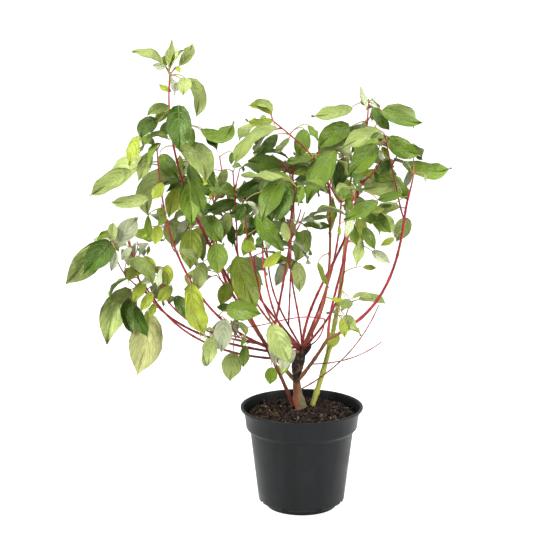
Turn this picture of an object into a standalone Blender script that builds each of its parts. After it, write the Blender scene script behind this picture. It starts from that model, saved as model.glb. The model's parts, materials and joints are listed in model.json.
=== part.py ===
"""Potted red-barked dogwood: a young shrub with red and yellow-green stems in a black nursery pot.

Metres, +Z up, the origin at the centre of the pot's underside. Seen along +Y the tall leading shoot is
at the left. Every limb is a tapering tube on one curve, and every mass of foliage grows by one rule.
"""

import math
import random

import bmesh
import bpy
from mathutils import Vector
from mathutils.bvhtree import BVHTree

CLEAR = 0.0003  # gap between neighbouring pieces

# The pot, a three litre nursery pot
POT_HEIGHT = 0.160
RIM_RADIUS = 0.095
COLLAR_RADIUS = 0.0862
COLLAR_BOTTOM = 0.1265
BODY_TOP_RADIUS = 0.0800
BODY_RADIUS = 0.0668
STEP_HEIGHT = 0.0100
BASE_RADIUS = 0.0550
POT_WALL = 0.0018
FLOOR_TOP = 0.0020
POT_STEPS = 32
DRAINS = 8
DRAIN_WIDTH = 0.009
DRAIN_HEIGHT = 0.0030

# The soil in it
SOIL_EDGE = 0.1450
SOIL_CROWN = 0.1520
CROWN_RADIUS = 0.043
CROWN_CENTRE = (0.0, 0.012)
SOIL_BUMP = 0.0013

# The trunk
TRUNK_FOOT = (0.0000, 0.010)
TRUNK_TOP = (0.0015, 0.010, 0.253)
TRUNK_LEAN = 0.0115
TRUNK_SWELLS = (
    (0.00, 0.0086), (0.06, 0.0090), (0.17, 0.0086), (0.32, 0.0062), (0.44, 0.0056), (0.54, 0.0064),
    (0.66, 0.0088), (0.80, 0.0096), (0.91, 0.0080), (1.00, 0.0050),
)

TRUNK_SIDES, TRUNK_STEPS = 10, 12

# What is left of old shoots on the trunk's head: a sawn-off stub and a thin dead one, as foot, tip, radii
STUBS = (
    ((0.003, 0.008, 0.242), (0.0115, 0.004, 0.2575), 0.0052, 0.0040),
    ((0.006, 0.012, 0.242), (0.0175, 0.016, 0.2760), 0.0018, 0.0009),
)

LIMB_SIDES = 5
LIMB_STEPS = 7
HANDLE = 0.36  # length of a curve's handles, as a share of its chord
SIDE_STEM_RADIUS = 0.0012
SHOOT_LENGTH = 0.050


# Each limb: what it grows from and how far along that, where its tip is, how steeply it leaves and
# arrives in degrees above level, how far its heading swings from first to last, and its two radii.
def limb(name, parent, at, tip, climb, radii, swing=0.0, colour="red"):
    return dict(
        name=name, parent=parent, at=at, tip=Vector(tip), climb=climb, radii=radii, swing=swing,
        colour=colour,
    )


LIMBS = (
    limb("stem_left", "soil", (-0.0125, 0.018), (-0.122, -0.012, 0.382), (70, 62), (0.0030, 0.0022)),
    limb("stem_yellow", "soil", (0.0165, 0.022), (0.071, 0.060, 0.470), (66, 88), (0.0043, 0.0024),
         colour="yellow"),
    limb("bough_olive", "trunk", 0.42, (-0.104, 0.042, 0.322), (44, 54), (0.0034, 0.0022),
         colour="olive"),
    limb("bough_right", "trunk", 0.42, (0.041, -0.010, 0.272), (52, 60), (0.0030, 0.0024),
         colour="brown"),
    limb("bough_right_inner", "bough_right", 0.97, (0.066, -0.050, 0.431), (86, 78), (0.0021, 0.0015)),
    limb("bough_right_low", "bough_right", 0.97, (0.072, -0.012, 0.289), (20, 36), (0.0026, 0.0025),
         colour="brown"),
    limb("bough_right_arc", "bough_right_low", 1.0, (0.154, -0.020, 0.466), (34, 84), (0.0025, 0.0017)),
    limb("bough_right_top", "bough_right_arc", 0.95, (0.137, -0.020, 0.518), (70, 76), (0.0013, 0.0010)),
    limb("bough_far_left", "trunk", 0.84, (-0.246, 0.000, 0.354), (12, 62), (0.0022, 0.0015), swing=-24),
    limb("bough_far_left_tip", "bough_far_left", 0.93, (-0.277, -0.050, 0.403), (38, 70), (0.0012, 0.0009)),
    limb("bough_low_left", "trunk", 0.79, (-0.222, -0.034, 0.335), (2, 58), (0.0020, 0.0014)),
    limb("bough_mid_left", "trunk", 0.96, (-0.204, -0.045, 0.339), (10, 55), (0.0018, 0.0012)),
    limb("bough_high_left", "trunk", 0.90, (-0.174, -0.052, 0.382), (8, 64), (0.0021, 0.0016), swing=-10),
    limb("bough_centre_left", "trunk", 0.93, (-0.100, 0.034, 0.414), (20, 90), (0.0018, 0.0012), swing=56),
    limb("bough_front_left", "trunk", 0.95, (-0.066, -0.050, 0.360), (38, 76), (0.0017, 0.0013)),
    limb("bough_front", "trunk", 0.92, (-0.060, -0.090, 0.446), (30, 90), (0.0018, 0.0012)),
    limb("bough_back_left", "trunk", 0.96, (-0.051, 0.060, 0.364), (48, 82), (0.0017, 0.0012)),
    limb("bough_centre", "bough_olive", 0.42, (-0.017, 0.004, 0.422), (72, 78), (0.0020, 0.0016)),
    limb("bough_front_centre", "trunk", 0.98, (-0.021, -0.100, 0.440), (70, 84), (0.0017, 0.0011)),
    limb("bough_back_centre", "bough_back_left", 0.30, (-0.016, 0.110, 0.386), (50, 88), (0.0014, 0.0011)),
    limb("bough_amber", "trunk", 0.99, (0.042, 0.000, 0.483), (54, 90), (0.0024, 0.0016),
         colour="amber"),
    limb("bough_crimson", "trunk", 0.97, (0.084, 0.020, 0.484), (86, 82), (0.0022, 0.0016)),
    limb("bough_back", "trunk", 0.94, (-0.110, 0.130, 0.420), (34, 84), (0.0020, 0.0013)),
    limb("bough_back_right", "trunk", 0.93, (0.064, 0.150, 0.440), (34, 84), (0.0022, 0.0014)),
    limb("bough_front_right", "trunk", 0.90, (0.060, -0.110, 0.410), (40, 84), (0.0020, 0.0013)),
)

BARE_TWIGS = (
    limb("twig_right_high", "trunk", 0.28, (0.119, 0.024, 0.314), (26, 68), (0.0012, 0.0008)),
    limb("twig_right_low", "bough_right", 0.42, (0.121, -0.024, 0.268), (4, 40), (0.0011, 0.0008)),
    limb("twig_loop", "trunk", 0.98, (0.034, -0.026, 0.304), (12, 88), (0.0011, 0.0010)),
    limb("twig_loop_far", "twig_loop", 1.0, (-0.100, -0.040, 0.294), (16, 2), (0.0010, 0.0007)),
)


# Each mass: the limb that bears it, where its stem reaches, how steep that tip is, how many pairs of
# leaves or shoots the stem bears, how many of the lowest of them are shoots, and the length of a leaf.
# One borne on a limb's side, not on its tip, says how far along and in which direction it leaves.
# Leaves that stand out are set by hand, by pair and side: heading, climb, length, droop and roll.
def mass(
    name, on, reach, climb, pairs, shoots, leaf, seed, at=1.0, leave=None, first=0.12, droop=75, lone=None
):
    return dict(
        name=name, on=on, reach=Vector(reach), climb=climb, pairs=pairs, shoots=shoots, leaf=leaf,
        seed=seed, at=at, leave=leave, first=first, droop=droop, lone=lone or {},
    )


MASSES = (
    mass("leaves_leader", "stem_left", (-0.1945, -0.040, 0.678), 96, 7, 1, 0.078, 23, lone={
        (6, 0): (186, 48, 0.052, 5, -50), (6, 1): (5, 98, 0.042, 10, 40),
        (5, 0): (-8, 60, 0.074, 125, 50), (5, 1): (110, 140, 0.052, 10, 0),
        (4, 0): (-75, 20, 0.076, 95, 10), (4, 1): (192, 25, 0.060, 70, -50),
        (3, 0): (-4, 22, 0.080, 30, 45),
    }),
    mass("leaves_high_left", "bough_high_left", (-0.213, -0.070, 0.570), 86, 7, 0, 0.078, 85, first=0.02,
         lone={
        (6, 0): (192, 60, 0.050, 60, -60), (5, 0): (184, -6, 0.084, 55, -55),
        (5, 1): (-10, 30, 0.062, 50, 50), (4, 0): (186, -6, 0.056, 20, -60),
        (4, 1): (262, -10, 0.068, 90, 0), (0, 0): (300, -60, 0.072, 45, 20),
    }),
    mass("leaves_far_left", "bough_far_left", (-0.266, 0.020, 0.423), 66, 3, 0, 0.068, 12, lone={
        (2, 0): (190, 25, 0.042, 30, -60), (2, 1): (10, 20, 0.048, 50, 50),
    }),
    mass("leaves_far_tip", "bough_far_left_tip", (-0.283, -0.062, 0.430), 60, 2, 0, 0.070, 46, lone={
        (1, 0): (188, -5, 0.080, 75, -50),
    }),
    mass("leaves_low_left", "bough_low_left", (-0.240, -0.036, 0.362), 60, 3, 0, 0.084, 91, lone={
        (0, 0): (196, -20, 0.096, 75, -65), (0, 1): (230, -100, 0.090, 30, -25),
        (1, 0): (190, 5, 0.086, 80, -65),
    }),
    mass("leaves_mid_left", "bough_mid_left", (-0.215, -0.045, 0.378), 80, 2, 0, 0.074, 2, droop=100, lone={
        (0, 0): (-8, 0, 0.056, 60, 45),
    }),
    mass("leaves_olive", "bough_olive", (-0.138, 0.070, 0.480), 84, 5, 1, 0.074, 13, first=0.04),
    mass("leaves_centre_left", "bough_centre_left", (-0.106, 0.045, 0.521), 80, 3, 1, 0.070, 16),
    mass("leaves_front_left", "bough_front_left", (-0.085, -0.066, 0.465), 86, 4, 0, 0.084, 13, first=0.05,
         droop=100),
    mass("leaves_front", "bough_front", (-0.062, -0.094, 0.510), 86, 3, 0, 0.076, 57),
    mass("leaves_back_left", "bough_back_left", (-0.060, 0.080, 0.450), 84, 3, 0, 0.074, 4, first=0.03),
    mass("leaves_centre", "bough_centre", (-0.014, -0.004, 0.540), 84, 3, 1, 0.080, 45),
    mass("leaves_front_centre", "bough_front_centre", (-0.010, -0.110, 0.520), 80, 3, 0, 0.072, 107,
         first=0.04, lone={(0, 0): (-20, -45, 0.056, 45, 30)}),
    mass("leaves_back_centre", "bough_back_centre", (-0.014, 0.140, 0.510), 80, 4, 1, 0.074, 80),
    mass("leaves_amber", "bough_amber", (-0.046, -0.010, 0.605), 40, 6, 0, 0.078, 99, lone={
        (5, 0): (184, 80, 0.042, 50, -40), (4, 0): (190, -20, 0.084, 80, -50),
    }),
    mass("leaves_crimson", "bough_crimson", (0.101, 0.050, 0.630), 88, 6, 1, 0.076, 21, lone={
        (5, 0): (-40, 0, 0.040, 80, 30), (5, 1): (180, 130, 0.030, 0, -40),
        (4, 0): (181, 14, 0.080, 40, -45), (4, 1): (-3, 30, 0.070, 60, 45),
    }),
    mass("leaves_right_inner", "bough_right_inner", (0.074, -0.064, 0.500), 70, 4, 0, 0.070, 54, lone={
        (0, 0): (-5, 10, 0.060, 60, 45),
    }),
    mass("leaves_right_arc", "bough_right_arc", (0.165, -0.026, 0.526), 82, 2, 0, 0.060, 25, lone={
        (1, 0): (-4, 45, 0.052, 45, 45), (0, 0): (200, -45, 0.044, 30, -20), (0, 1): (186, 0, 0.056, 60, -50),
    }),
    mass("leaves_right_top", "bough_right_top", (0.122, -0.030, 0.584), 80, 4, 0, 0.068, 80),
    mass("leaves_back", "bough_back", (-0.130, 0.150, 0.530), 80, 4, 1, 0.074, 110),
    mass("leaves_back_right", "bough_back_right", (0.080, 0.165, 0.550), 80, 4, 1, 0.074, 103),
    mass("leaves_front_right", "bough_front_right", (0.075, -0.130, 0.520), 84, 4, 0, 0.074, 108),
    mass("leaves_yellow", "stem_yellow", (0.080, 0.066, 0.530), 84, 3, 0, 0.062, 23),
    mass("leaves_yellow_low", "stem_yellow", (0.080, 0.004, 0.326), 30, 2, 0, 0.044, 68, at=0.34,
         leave=(-40, 20), lone={(1, 0): (0, 20, 0.044, 40, 40), (1, 1): (182, 10, 0.040, 40, -40)}),
    mass("leaves_hanging", "trunk", (-0.130, -0.058, 0.290), 10, 4, 0, 0.054, 9, at=0.80,
         leave=(215, 20), first=0.45, droop=110),
    mass("leaves_low_front", "trunk", (-0.022, -0.042, 0.256), 10, 2, 0, 0.060, 88, at=0.88,
         leave=(250, 30), first=0.6, droop=110, lone={(1, 0): (195, 50, 0.062, 20, -75)}),
)


# Curves
def heading_of(vector):
    return math.atan2(vector.y, vector.x)


def aimed(heading, climb):
    return Vector((math.cos(climb) * math.cos(heading), math.cos(climb) * math.sin(heading), math.sin(climb)))


def curve(start, end, leave, arrive):
    """A cubic from start to end whose first and last directions are leave and arrive."""
    reach = (end - start).length * HANDLE
    points = (start, start + leave * reach, end - arrive * reach, end)

    def at(t):
        s = 1.0 - t
        return (
            points[0] * (s * s * s) + points[1] * (3 * s * s * t) + points[2] * (3 * s * t * t)
            + points[3] * (t * t * t)
        )

    return at


def direction(path, t, step=0.01):
    low, high = max(0.0, t - step), min(1.0, t + step)
    return (path(high) - path(low)).normalized()


def along(values, t):
    """The value at t of a list of (place, value), joined by straight lines."""
    for (t0, v0), (t1, v1) in zip(values, values[1:]):
        if t <= t1:
            return v0 + (v1 - v0) * (t - t0) / (t1 - t0)
    return values[-1][1]


def trunk_route():
    foot = Vector((*TRUNK_FOOT, SOIL_CROWN + CLEAR))
    top = Vector(TRUNK_TOP)
    rise = (top.z - foot.z) / 3
    bend = (
        foot,
        Vector((foot.x - TRUNK_LEAN, foot.y, foot.z + rise)),
        Vector((top.x - TRUNK_LEAN, top.y, top.z - rise)),
        top,
    )

    def at(t):
        s = 1.0 - t
        return bend[0] * s**3 + bend[1] * (3 * s * s * t) + bend[2] * (3 * s * t * t) + bend[3] * t**3

    return dict(path=at, radius=lambda t: along(TRUNK_SWELLS, t), level_foot=True)


def limb_route(spec, routes):
    if spec["parent"] == "soil":
        start = Vector((*spec["at"], SOIL_CROWN + CLEAR))
    else:
        parent = routes[spec["parent"]]
        start = parent["path"](spec["at"])
        if spec["at"] == 1.0:
            start = start + direction(parent["path"], 1.0) * CLEAR
    chord = spec["tip"] - start
    turn = math.radians(spec["swing"]) / 2
    leave, arrive = (math.radians(c) for c in spec["climb"])
    path = curve(
        start, spec["tip"], aimed(heading_of(chord) - turn, leave), aimed(heading_of(chord) + turn, arrive)
    )
    first, last = spec["radii"]
    return dict(
        path=path, radius=lambda t: first + (last - first) * t, level_foot=spec["parent"] == "soil"
    )


# Closed meshes, each as its points and its faces
def rings_to_mesh(rings, tip=None):
    """Rings of points joined in order, closed by a face at the start and by a face or a tip at the end."""
    count = len(rings[0])
    points = [p for ring in rings for p in ring]
    faces = [tuple(reversed(range(count)))]
    for r in range(len(rings) - 1):
        for i in range(count):
            j = (i + 1) % count
            a, b = r * count, (r + 1) * count
            faces.append((a + i, a + j, b + j, b + i))
    last = (len(rings) - 1) * count
    if tip is None:
        faces.append(tuple(range(last, last + count)))
    else:
        points.append(tip)
        faces += [(last + i, last + (i + 1) % count, len(points) - 1) for i in range(count)]
    return points, faces


def tube(route, sides, steps, swell=0.0, start=0.0, stretch=0.0):
    """A tube round a route. Swell is added to its radius and stretch to both its ends."""
    path, radius = route["path"], route["radius"]
    first = direction(path, start)
    side = first.cross(Vector((0.0, 1.0, 0.0))).normalized()
    rings = []
    for k in range(steps + 1):
        t = start + (1.0 - start) * k / steps
        ahead = direction(path, t)
        side = (side - ahead * side.dot(ahead)).normalized()
        other = ahead.cross(side)
        centre = path(t)
        if stretch and k in (0, steps):
            centre = centre + ahead * (stretch if k else -stretch)
        r = radius(t) + swell
        turns = [2 * math.pi * i / sides for i in range(sides)]
        rings.append([centre + side * (r * math.cos(a)) + other * (r * math.sin(a)) for a in turns])
    if route.get("level_foot") and not stretch:
        rings[0] = [p + first * ((path(0.0).z - p.z) / first.z) for p in rings[0]]
    return rings_to_mesh(rings)


# A leaf: three-sided all along, flat above and keeled below, narrow in its stalk and wide in its blade
STALK_HALF = 0.0007
STALK_SHARE = 0.17
LEAF_WIDE = 0.28  # half width as a share of the length
LEAF_THICK = 0.014  # depth of the keel as a share of the length
BLADE_STATIONS = ((0.20, 0.86, 1.0), (0.60, 0.90, 0.9))  # place, width, thickness


def leaf_mesh(leaf, swell=0.0, blade_only=False):
    """The leaf's solid: a stalk from its root, then a blade that bends down along its midrib."""
    heading, roll = leaf["heading"], leaf["roll"]
    length = leaf["length"]
    stalk = leaf["stalk"]
    place = leaf["root"] + aimed(heading, leaf["climb"]) * stalk
    flat = Vector((-math.sin(heading), math.cos(heading), 0.0))
    rings = []

    def ring(centre, climb, half, thick, turn):
        ahead = aimed(heading, climb)
        up = ahead.cross(flat)
        across = flat * math.cos(turn) + up * math.sin(turn)
        over = ahead.cross(across)
        above = centre + over * (thick * 0.3 + swell)
        return [above + across * half, above - across * half, centre - over * (thick * 0.7 + swell)]

    thin = STALK_HALF + swell
    if not blade_only:
        rings.append(ring(leaf["root"], leaf["climb"], thin, STALK_HALF * 2, 0.0))
    start_climb = leaf["climb"] * 0.6
    rings.append(ring(place, start_climb, thin, STALK_HALF * 2, roll * 0.3))
    before = 0.0
    centre = place
    for at, wide, thick in BLADE_STATIONS + ((1.0, 0.0, 0.0),):
        step = (at - before) / 2
        for _ in range(2):
            before += step
            bent = start_climb - leaf["droop"] * (before - step / 2)
            centre = centre + aimed(heading, bent) * (length * step)
        if wide:
            rings.append(
                ring(
                    centre, start_climb - leaf["droop"] * at,
                    length * LEAF_WIDE * leaf["wide"] * wide + swell, length * LEAF_THICK * thick, roll,
                )
            )
    return rings_to_mesh(rings, tip=centre)


# Growth: what a mass is made of, as the routes of its twigs and the values of its leaves
def spread_direction(path, t, turn, open_angle):
    """The direction of a side growth at t, turned round the stem and opened away from it."""
    ahead = direction(path, t)
    side = ahead.cross(Vector((0.0, 1.0, 0.0))).normalized()
    other = ahead.cross(side)
    outward = side * math.cos(turn) + other * math.sin(turn)
    return (ahead * math.cos(open_angle) + outward * math.sin(open_angle)).normalized()


CROWN_AXIS = Vector((-0.02, 0.0, 0.0))
TURNED_IN = 0.2  # share of the leaves whose upper face rolls towards the crown's axis, not away from it
NODE_CROWDING = 1.3  # how much the nodes draw together towards a stem's tip


def new_leaf(dice, spec, path, t, turn, size, upright=False):
    """One leaf at t of a twig, on the side that turn gives."""
    openness = dice.uniform(48, 72) - (22 if upright else 0)
    out = spread_direction(path, t, turn, math.radians(openness))
    length = spec["leaf"] * size * dice.uniform(0.80, 1.12)
    root = path(t)
    heading = heading_of(out) + math.radians(dice.uniform(-14, 14))
    outward = root - CROWN_AXIS
    faces_out = outward.x * math.sin(heading) - outward.y * math.cos(heading) > 0
    if dice.random() < TURNED_IN:
        faces_out = not faces_out
    return dict(
        root=root,
        heading=heading,
        climb=math.asin(max(-0.7, min(0.95, out.z))) * dice.uniform(0.7, 1.0),
        length=length,
        stalk=length * STALK_SHARE * dice.uniform(0.8, 1.3),
        wide=dice.uniform(0.88, 1.08),
        droop=math.radians(spec["droop"] * dice.uniform(0.6, 1.35) * (0.7 if upright else 1.0)),
        roll=math.radians(dice.uniform(5, 60) * (1 if faces_out else -1)),
    )


def set_by_hand(leaf, values):
    heading, climb, length, droop, roll = values
    leaf.update(
        heading=math.radians(heading), climb=math.radians(climb), length=length, droop=math.radians(droop),
        roll=math.radians(roll), stalk=length * STALK_SHARE,
    )
    return leaf


def stem_of(spec, routes):
    """The route of a mass's own stem, 0.3 mm clear of the limb that bears it."""
    bearer = routes[spec["on"]]
    ahead = direction(bearer["path"], spec["at"])
    start = bearer["path"](spec["at"]) + ahead * CLEAR
    thick = bearer["radius"](spec["at"]) * 0.92
    if spec["leave"]:
        ahead = aimed(*(math.radians(angle) for angle in spec["leave"]))
        start = bearer["path"](spec["at"]) + ahead * (bearer["radius"](spec["at"]) * 1.02 + CLEAR)
        thick = SIDE_STEM_RADIUS
    chord = spec["reach"] - start
    arrive = aimed(heading_of(chord), math.radians(spec["climb"]))
    return dict(
        path=curve(start, spec["reach"], ahead, arrive),
        radius=lambda t: thick + (0.0008 - thick) * t,
    )


def grow(spec, stem):
    """The shoots and leaves of a mass, each set with its own dice so that one left out changes no other."""
    shoots, leaves = [], []
    base = random.Random(f"{spec['name']} {spec['seed']}").uniform(0, math.pi)
    for k in range(spec["pairs"]):
        left = (spec["pairs"] - 1 - k) / max(1, spec["pairs"] - 1)
        t = 1.0 - (1.0 - spec["first"]) * left**NODE_CROWDING
        tip = k == spec["pairs"] - 1
        size = 0.75 if tip else 1.0
        for half in (0, 1):
            dice = random.Random(f"{spec['name']} {spec['seed']} {k} {half}")
            turn = base + k * math.pi / 2 + half * math.pi + math.radians(dice.uniform(-16, 16))
            if k >= spec["shoots"]:
                leaf = new_leaf(dice, spec, stem["path"], min(t, 0.985), turn, size, upright=tip)
                if (k, half) in spec["lone"]:
                    leaf = set_by_hand(leaf, spec["lone"][k, half])
                leaves.append(leaf)
                continue
            out = spread_direction(stem["path"], t, turn, math.radians(dice.uniform(38, 58)))
            start = stem["path"](t)
            reach = SHOOT_LENGTH * dice.uniform(0.8, 1.2)
            end = start + (out + Vector((0, 0, 0.35))).normalized() * reach
            path = curve(start, end, out, (end - start + Vector((0, 0, reach * 0.5))).normalized())
            shoot = dict(path=path, radius=lambda s: 0.0011 - 0.0004 * s)
            inner = dice.uniform(0, math.pi)
            crop = []
            for other in (0, 1):
                more = random.Random(f"{spec['name']} {spec['seed']} {k} {half} {other}")
                crop.append(new_leaf(more, spec, path, 0.97, inner + other * math.pi, 0.9))
            shoots.append((shoot, crop))
    return shoots, leaves


# Room: nothing of a mass may touch a limb or another mass
class Room:
    def __init__(self):
        self.taken = []

    def add(self, owner, mesh):
        points, faces = mesh
        low = Vector(min(p[i] for p in points) for i in range(3))
        high = Vector(max(p[i] for p in points) for i in range(3))
        self.taken.append((owner, low, high, BVHTree.FromPolygons(points, faces)))

    def free(self, mesh, skip=(), only=None):
        points, faces = mesh
        low = Vector(min(p[i] for p in points) for i in range(3))
        high = Vector(max(p[i] for p in points) for i in range(3))
        tree = None
        for owner, other_low, other_high, other in self.taken:
            if owner in skip or (only is not None and owner != only):
                continue
            if any(low[i] > other_high[i] or high[i] < other_low[i] for i in range(3)):
                continue
            tree = tree or BVHTree.FromPolygons(points, faces)
            if tree.overlap(other):
                return False
        return True


TRIES = ((0, 1.0), (18, 1.0), (-18, 1.0), (36, 0.95), (-36, 0.95), (60, 0.9), (-60, 0.85), (90, 0.8))
SHY = 0.0004  # how much fatter a piece is while its room is tested


def settled_leaf(leaf, owner, room):
    """The leaf, turned aside or made smaller until it touches nothing, or None."""
    for turn, size in TRIES:
        tried = dict(leaf)
        tried["heading"] = leaf["heading"] + math.radians(turn)
        tried["length"] = leaf["length"] * size
        blade = leaf_mesh(tried, swell=SHY, blade_only=True)
        whole = leaf_mesh(tried, swell=SHY)
        if room.free(whole, skip=(owner,)) and room.free(blade, only=owner):
            room.add(owner, leaf_mesh(tried))
            return tried
    return None


def settle(spec, stem, room):
    """The shoots and leaves of one mass that find room."""
    name = spec["name"]
    shoots, leaves = grow(spec, stem)
    kept = []
    for shoot, crop in shoots:
        if room.free(tube(shoot, 3, 3, swell=SHY), skip=(name,)):
            room.add(name, tube(shoot, 3, 3, start=0.15))
            kept.append(shoot)
            leaves += crop
    settled = [settled_leaf(leaf, name, room) for leaf in leaves]
    return kept, [leaf for leaf in settled if leaf]


def grow_all(routes):
    """Every mass's stem, shoots and leaves, all the stems first so that leaves keep off them."""
    room = Room()
    for name, route in routes.items():
        room.add("limbs", tube(route, LIMB_SIDES, LIMB_STEPS, swell=0.0003))
    stems, grown = {}, {}
    for spec in MASSES:
        stems[spec["name"]] = stem_of(spec, routes)
        room.add(spec["name"], tube(stems[spec["name"]], 3, 6))
    for spec in MASSES:
        shoots, leaves = settle(spec, stems[spec["name"]], room)
        grown[spec["name"]] = dict(stem=stems[spec["name"]], shoots=shoots, leaves=leaves)
    return grown


# Objects
TOUCHING = 2e-7  # points of one piece nearer than this count as one


BARK = dict(
    red=((0.42, 0.045, 0.050), 0.45), yellow=((0.46, 0.50, 0.10), 0.5), olive=((0.22, 0.17, 0.05), 0.6),
    brown=((0.20, 0.09, 0.045), 0.65), amber=((0.38, 0.13, 0.045), 0.5), old=((0.10, 0.055, 0.030), 0.8),
)
GREENS = ((0.10, 0.20, 0.03), (0.16, 0.28, 0.06), (0.24, 0.34, 0.10), (0.09, 0.15, 0.04), (0.34, 0.38, 0.10))


def finish(obj, name, colour, roughness):
    """Gives an object its name and its own material."""
    obj.name = name
    obj.data.name = name
    material = bpy.data.materials.new(name)
    material.use_nodes = True
    shader = material.node_tree.nodes["Principled BSDF"]
    shader.inputs["Base Color"].default_value = (*colour, 1.0)
    shader.inputs["Roughness"].default_value = roughness
    shader.inputs["Metallic"].default_value = 0.0
    obj.data.materials.clear()
    obj.data.materials.append(material)
    return obj


def solid(mesh, name="piece", collection=None):
    """An object from points and faces, its faces pointing out."""
    points, faces = mesh
    data = bpy.data.meshes.new(name)
    form = bmesh.new()
    corners = [form.verts.new(p) for p in points]
    for face in faces:
        form.faces.new([corners[i] for i in face])
    bmesh.ops.recalc_face_normals(form, faces=form.faces)
    form.to_mesh(data)
    form.free()
    obj = bpy.data.objects.new(name, data)
    (collection or bpy.context.scene.collection).objects.link(obj)
    return obj


def shells(form):
    """The separate closed surfaces of a mesh, as lists of faces."""
    left, found = set(form.faces), []
    while left:
        todo = [left.pop()]
        shell = []
        while todo:
            face = todo.pop()
            shell.append(face)
            for edge in face.edges:
                for near in edge.link_faces:
                    if near in left:
                        left.remove(near)
                        todo.append(near)
        found.append(shell)
    return found


def keep_main_shell(data):
    """Drops loose scraps and sealed hollows, and says whether what stays is closed."""
    form = bmesh.new()
    form.from_mesh(data)
    found = sorted(shells(form), key=lambda shell: sum(f.calc_area() for f in shell))
    scraps = [face for shell in found[:-1] for face in shell]
    bmesh.ops.delete(form, geom=scraps, context="FACES")
    bmesh.ops.remove_doubles(form, verts=form.verts, dist=TOUCHING)
    closed = bool(form.faces) and all(edge.is_manifold for edge in form.edges)
    form.to_mesh(data)
    form.free()
    return closed


def combine(obj, pieces, operation):
    """One Boolean of obj with all the pieces, applied, after which the pieces are gone."""
    group = bpy.data.collections.new("pieces")
    bpy.context.scene.collection.children.link(group)
    for piece in pieces:
        for home in piece.users_collection:
            home.objects.unlink(piece)
        group.objects.link(piece)
    result = None
    for solver in ("EXACT", "MANIFOLD"):
        change = obj.modifiers.new("join", "BOOLEAN")
        change.operation = operation
        change.operand_type = "COLLECTION"
        change.collection = group
        change.solver = solver
        graph = bpy.context.evaluated_depsgraph_get()
        result = bpy.data.meshes.new_from_object(obj.evaluated_get(graph))
        obj.modifiers.remove(change)
        if keep_main_shell(result):
            break
    obj.data = result
    for piece in list(group.objects):
        bpy.data.objects.remove(piece)
    bpy.data.collections.remove(group)
    return obj


def turned(profile, steps):
    """A closed solid of revolution from (radius, height) points, the first and last on the axis."""
    points = [Vector((0.0, 0.0, profile[0][1])), Vector((0.0, 0.0, profile[-1][1]))]
    rings = profile[1:-1]
    for radius, height in rings:
        for i in range(steps):
            a = 2 * math.pi * i / steps
            points.append(Vector((radius * math.cos(a), radius * math.sin(a), height)))
    faces = []
    last = 2 + (len(rings) - 1) * steps
    for i in range(steps):
        j = (i + 1) % steps
        faces.append((0, 2 + j, 2 + i))
        faces.append((1, last + i, last + j))
        for r in range(len(rings) - 1):
            a, b = 2 + r * steps, 2 + (r + 1) * steps
            faces.append((a + i, a + j, b + j, b + i))
    return points, faces


def pot_outside():
    """The pot's outer profile from the base's centre to the lip."""
    return (
        (0.0, 0.0), (BASE_RADIUS - 0.0012, 0.0), (BASE_RADIUS, 0.0012),
        (BASE_RADIUS + 0.0008, STEP_HEIGHT - 0.0002),
        (BODY_RADIUS - 0.0022, STEP_HEIGHT), (BODY_RADIUS - 0.0004, STEP_HEIGHT + 0.0010),
        (BODY_RADIUS + 0.0001, STEP_HEIGHT + 0.0028), (BODY_TOP_RADIUS, COLLAR_BOTTOM - 0.0050),
        (BODY_TOP_RADIUS + 0.0008, COLLAR_BOTTOM - 0.0032), (COLLAR_RADIUS - 0.0012, COLLAR_BOTTOM),
        (COLLAR_RADIUS, COLLAR_BOTTOM + 0.0022), (COLLAR_RADIUS + 0.0014, POT_HEIGHT - 0.0180),
        (RIM_RADIUS - 0.0042, POT_HEIGHT - 0.0050), (RIM_RADIUS - 0.0004, POT_HEIGHT - 0.0040),
        (RIM_RADIUS, POT_HEIGHT - 0.0018), (RIM_RADIUS - 0.0010, POT_HEIGHT),
    )


def pot_inside():
    """The pot's inner profile from the lip down to the base's centre."""
    return (
        (RIM_RADIUS - 0.0036, POT_HEIGHT), (RIM_RADIUS - 0.0052, POT_HEIGHT - 0.0022),
        (COLLAR_RADIUS + 0.0014 - POT_WALL, POT_HEIGHT - 0.0180),
        (COLLAR_RADIUS - POT_WALL, COLLAR_BOTTOM + 0.0030),
        (BODY_TOP_RADIUS - POT_WALL, COLLAR_BOTTOM - 0.0040),
        (BODY_RADIUS - POT_WALL + 0.0002, STEP_HEIGHT + 0.0040),
        (BODY_RADIUS - 0.0032, STEP_HEIGHT + POT_WALL), (BASE_RADIUS - 0.0010, STEP_HEIGHT + POT_WALL),
        (BASE_RADIUS - POT_WALL, FLOOR_TOP), (0.0, FLOOR_TOP),
    )


def make_pot():
    pot = solid(turned(pot_outside() + pot_inside(), POT_STEPS))
    drains = []
    for k in range(DRAINS):
        a = 2 * math.pi * (k + 0.5) / DRAINS
        out, across = Vector((math.cos(a), math.sin(a), 0)), Vector((-math.sin(a), math.cos(a), 0))
        rings = []
        for far in (BODY_RADIUS - 0.0080, BODY_RADIUS + 0.0040):
            centre = out * far
            half = across * (DRAIN_WIDTH / 2)
            top = Vector((0, 0, STEP_HEIGHT + DRAIN_HEIGHT))
            low = Vector((0, 0, STEP_HEIGHT - 0.0020))
            rings.append([centre - half + low, centre + half + low, centre + half + top, centre - half + top])
        drains.append(solid(rings_to_mesh(rings)))
    combine(pot, drains, "DIFFERENCE")
    finish(pot, "pot", (0.022, 0.026, 0.028), 0.45)
    pot.data.shade_smooth()
    pot.data.set_sharp_from_angle(angle=math.radians(35))


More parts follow.
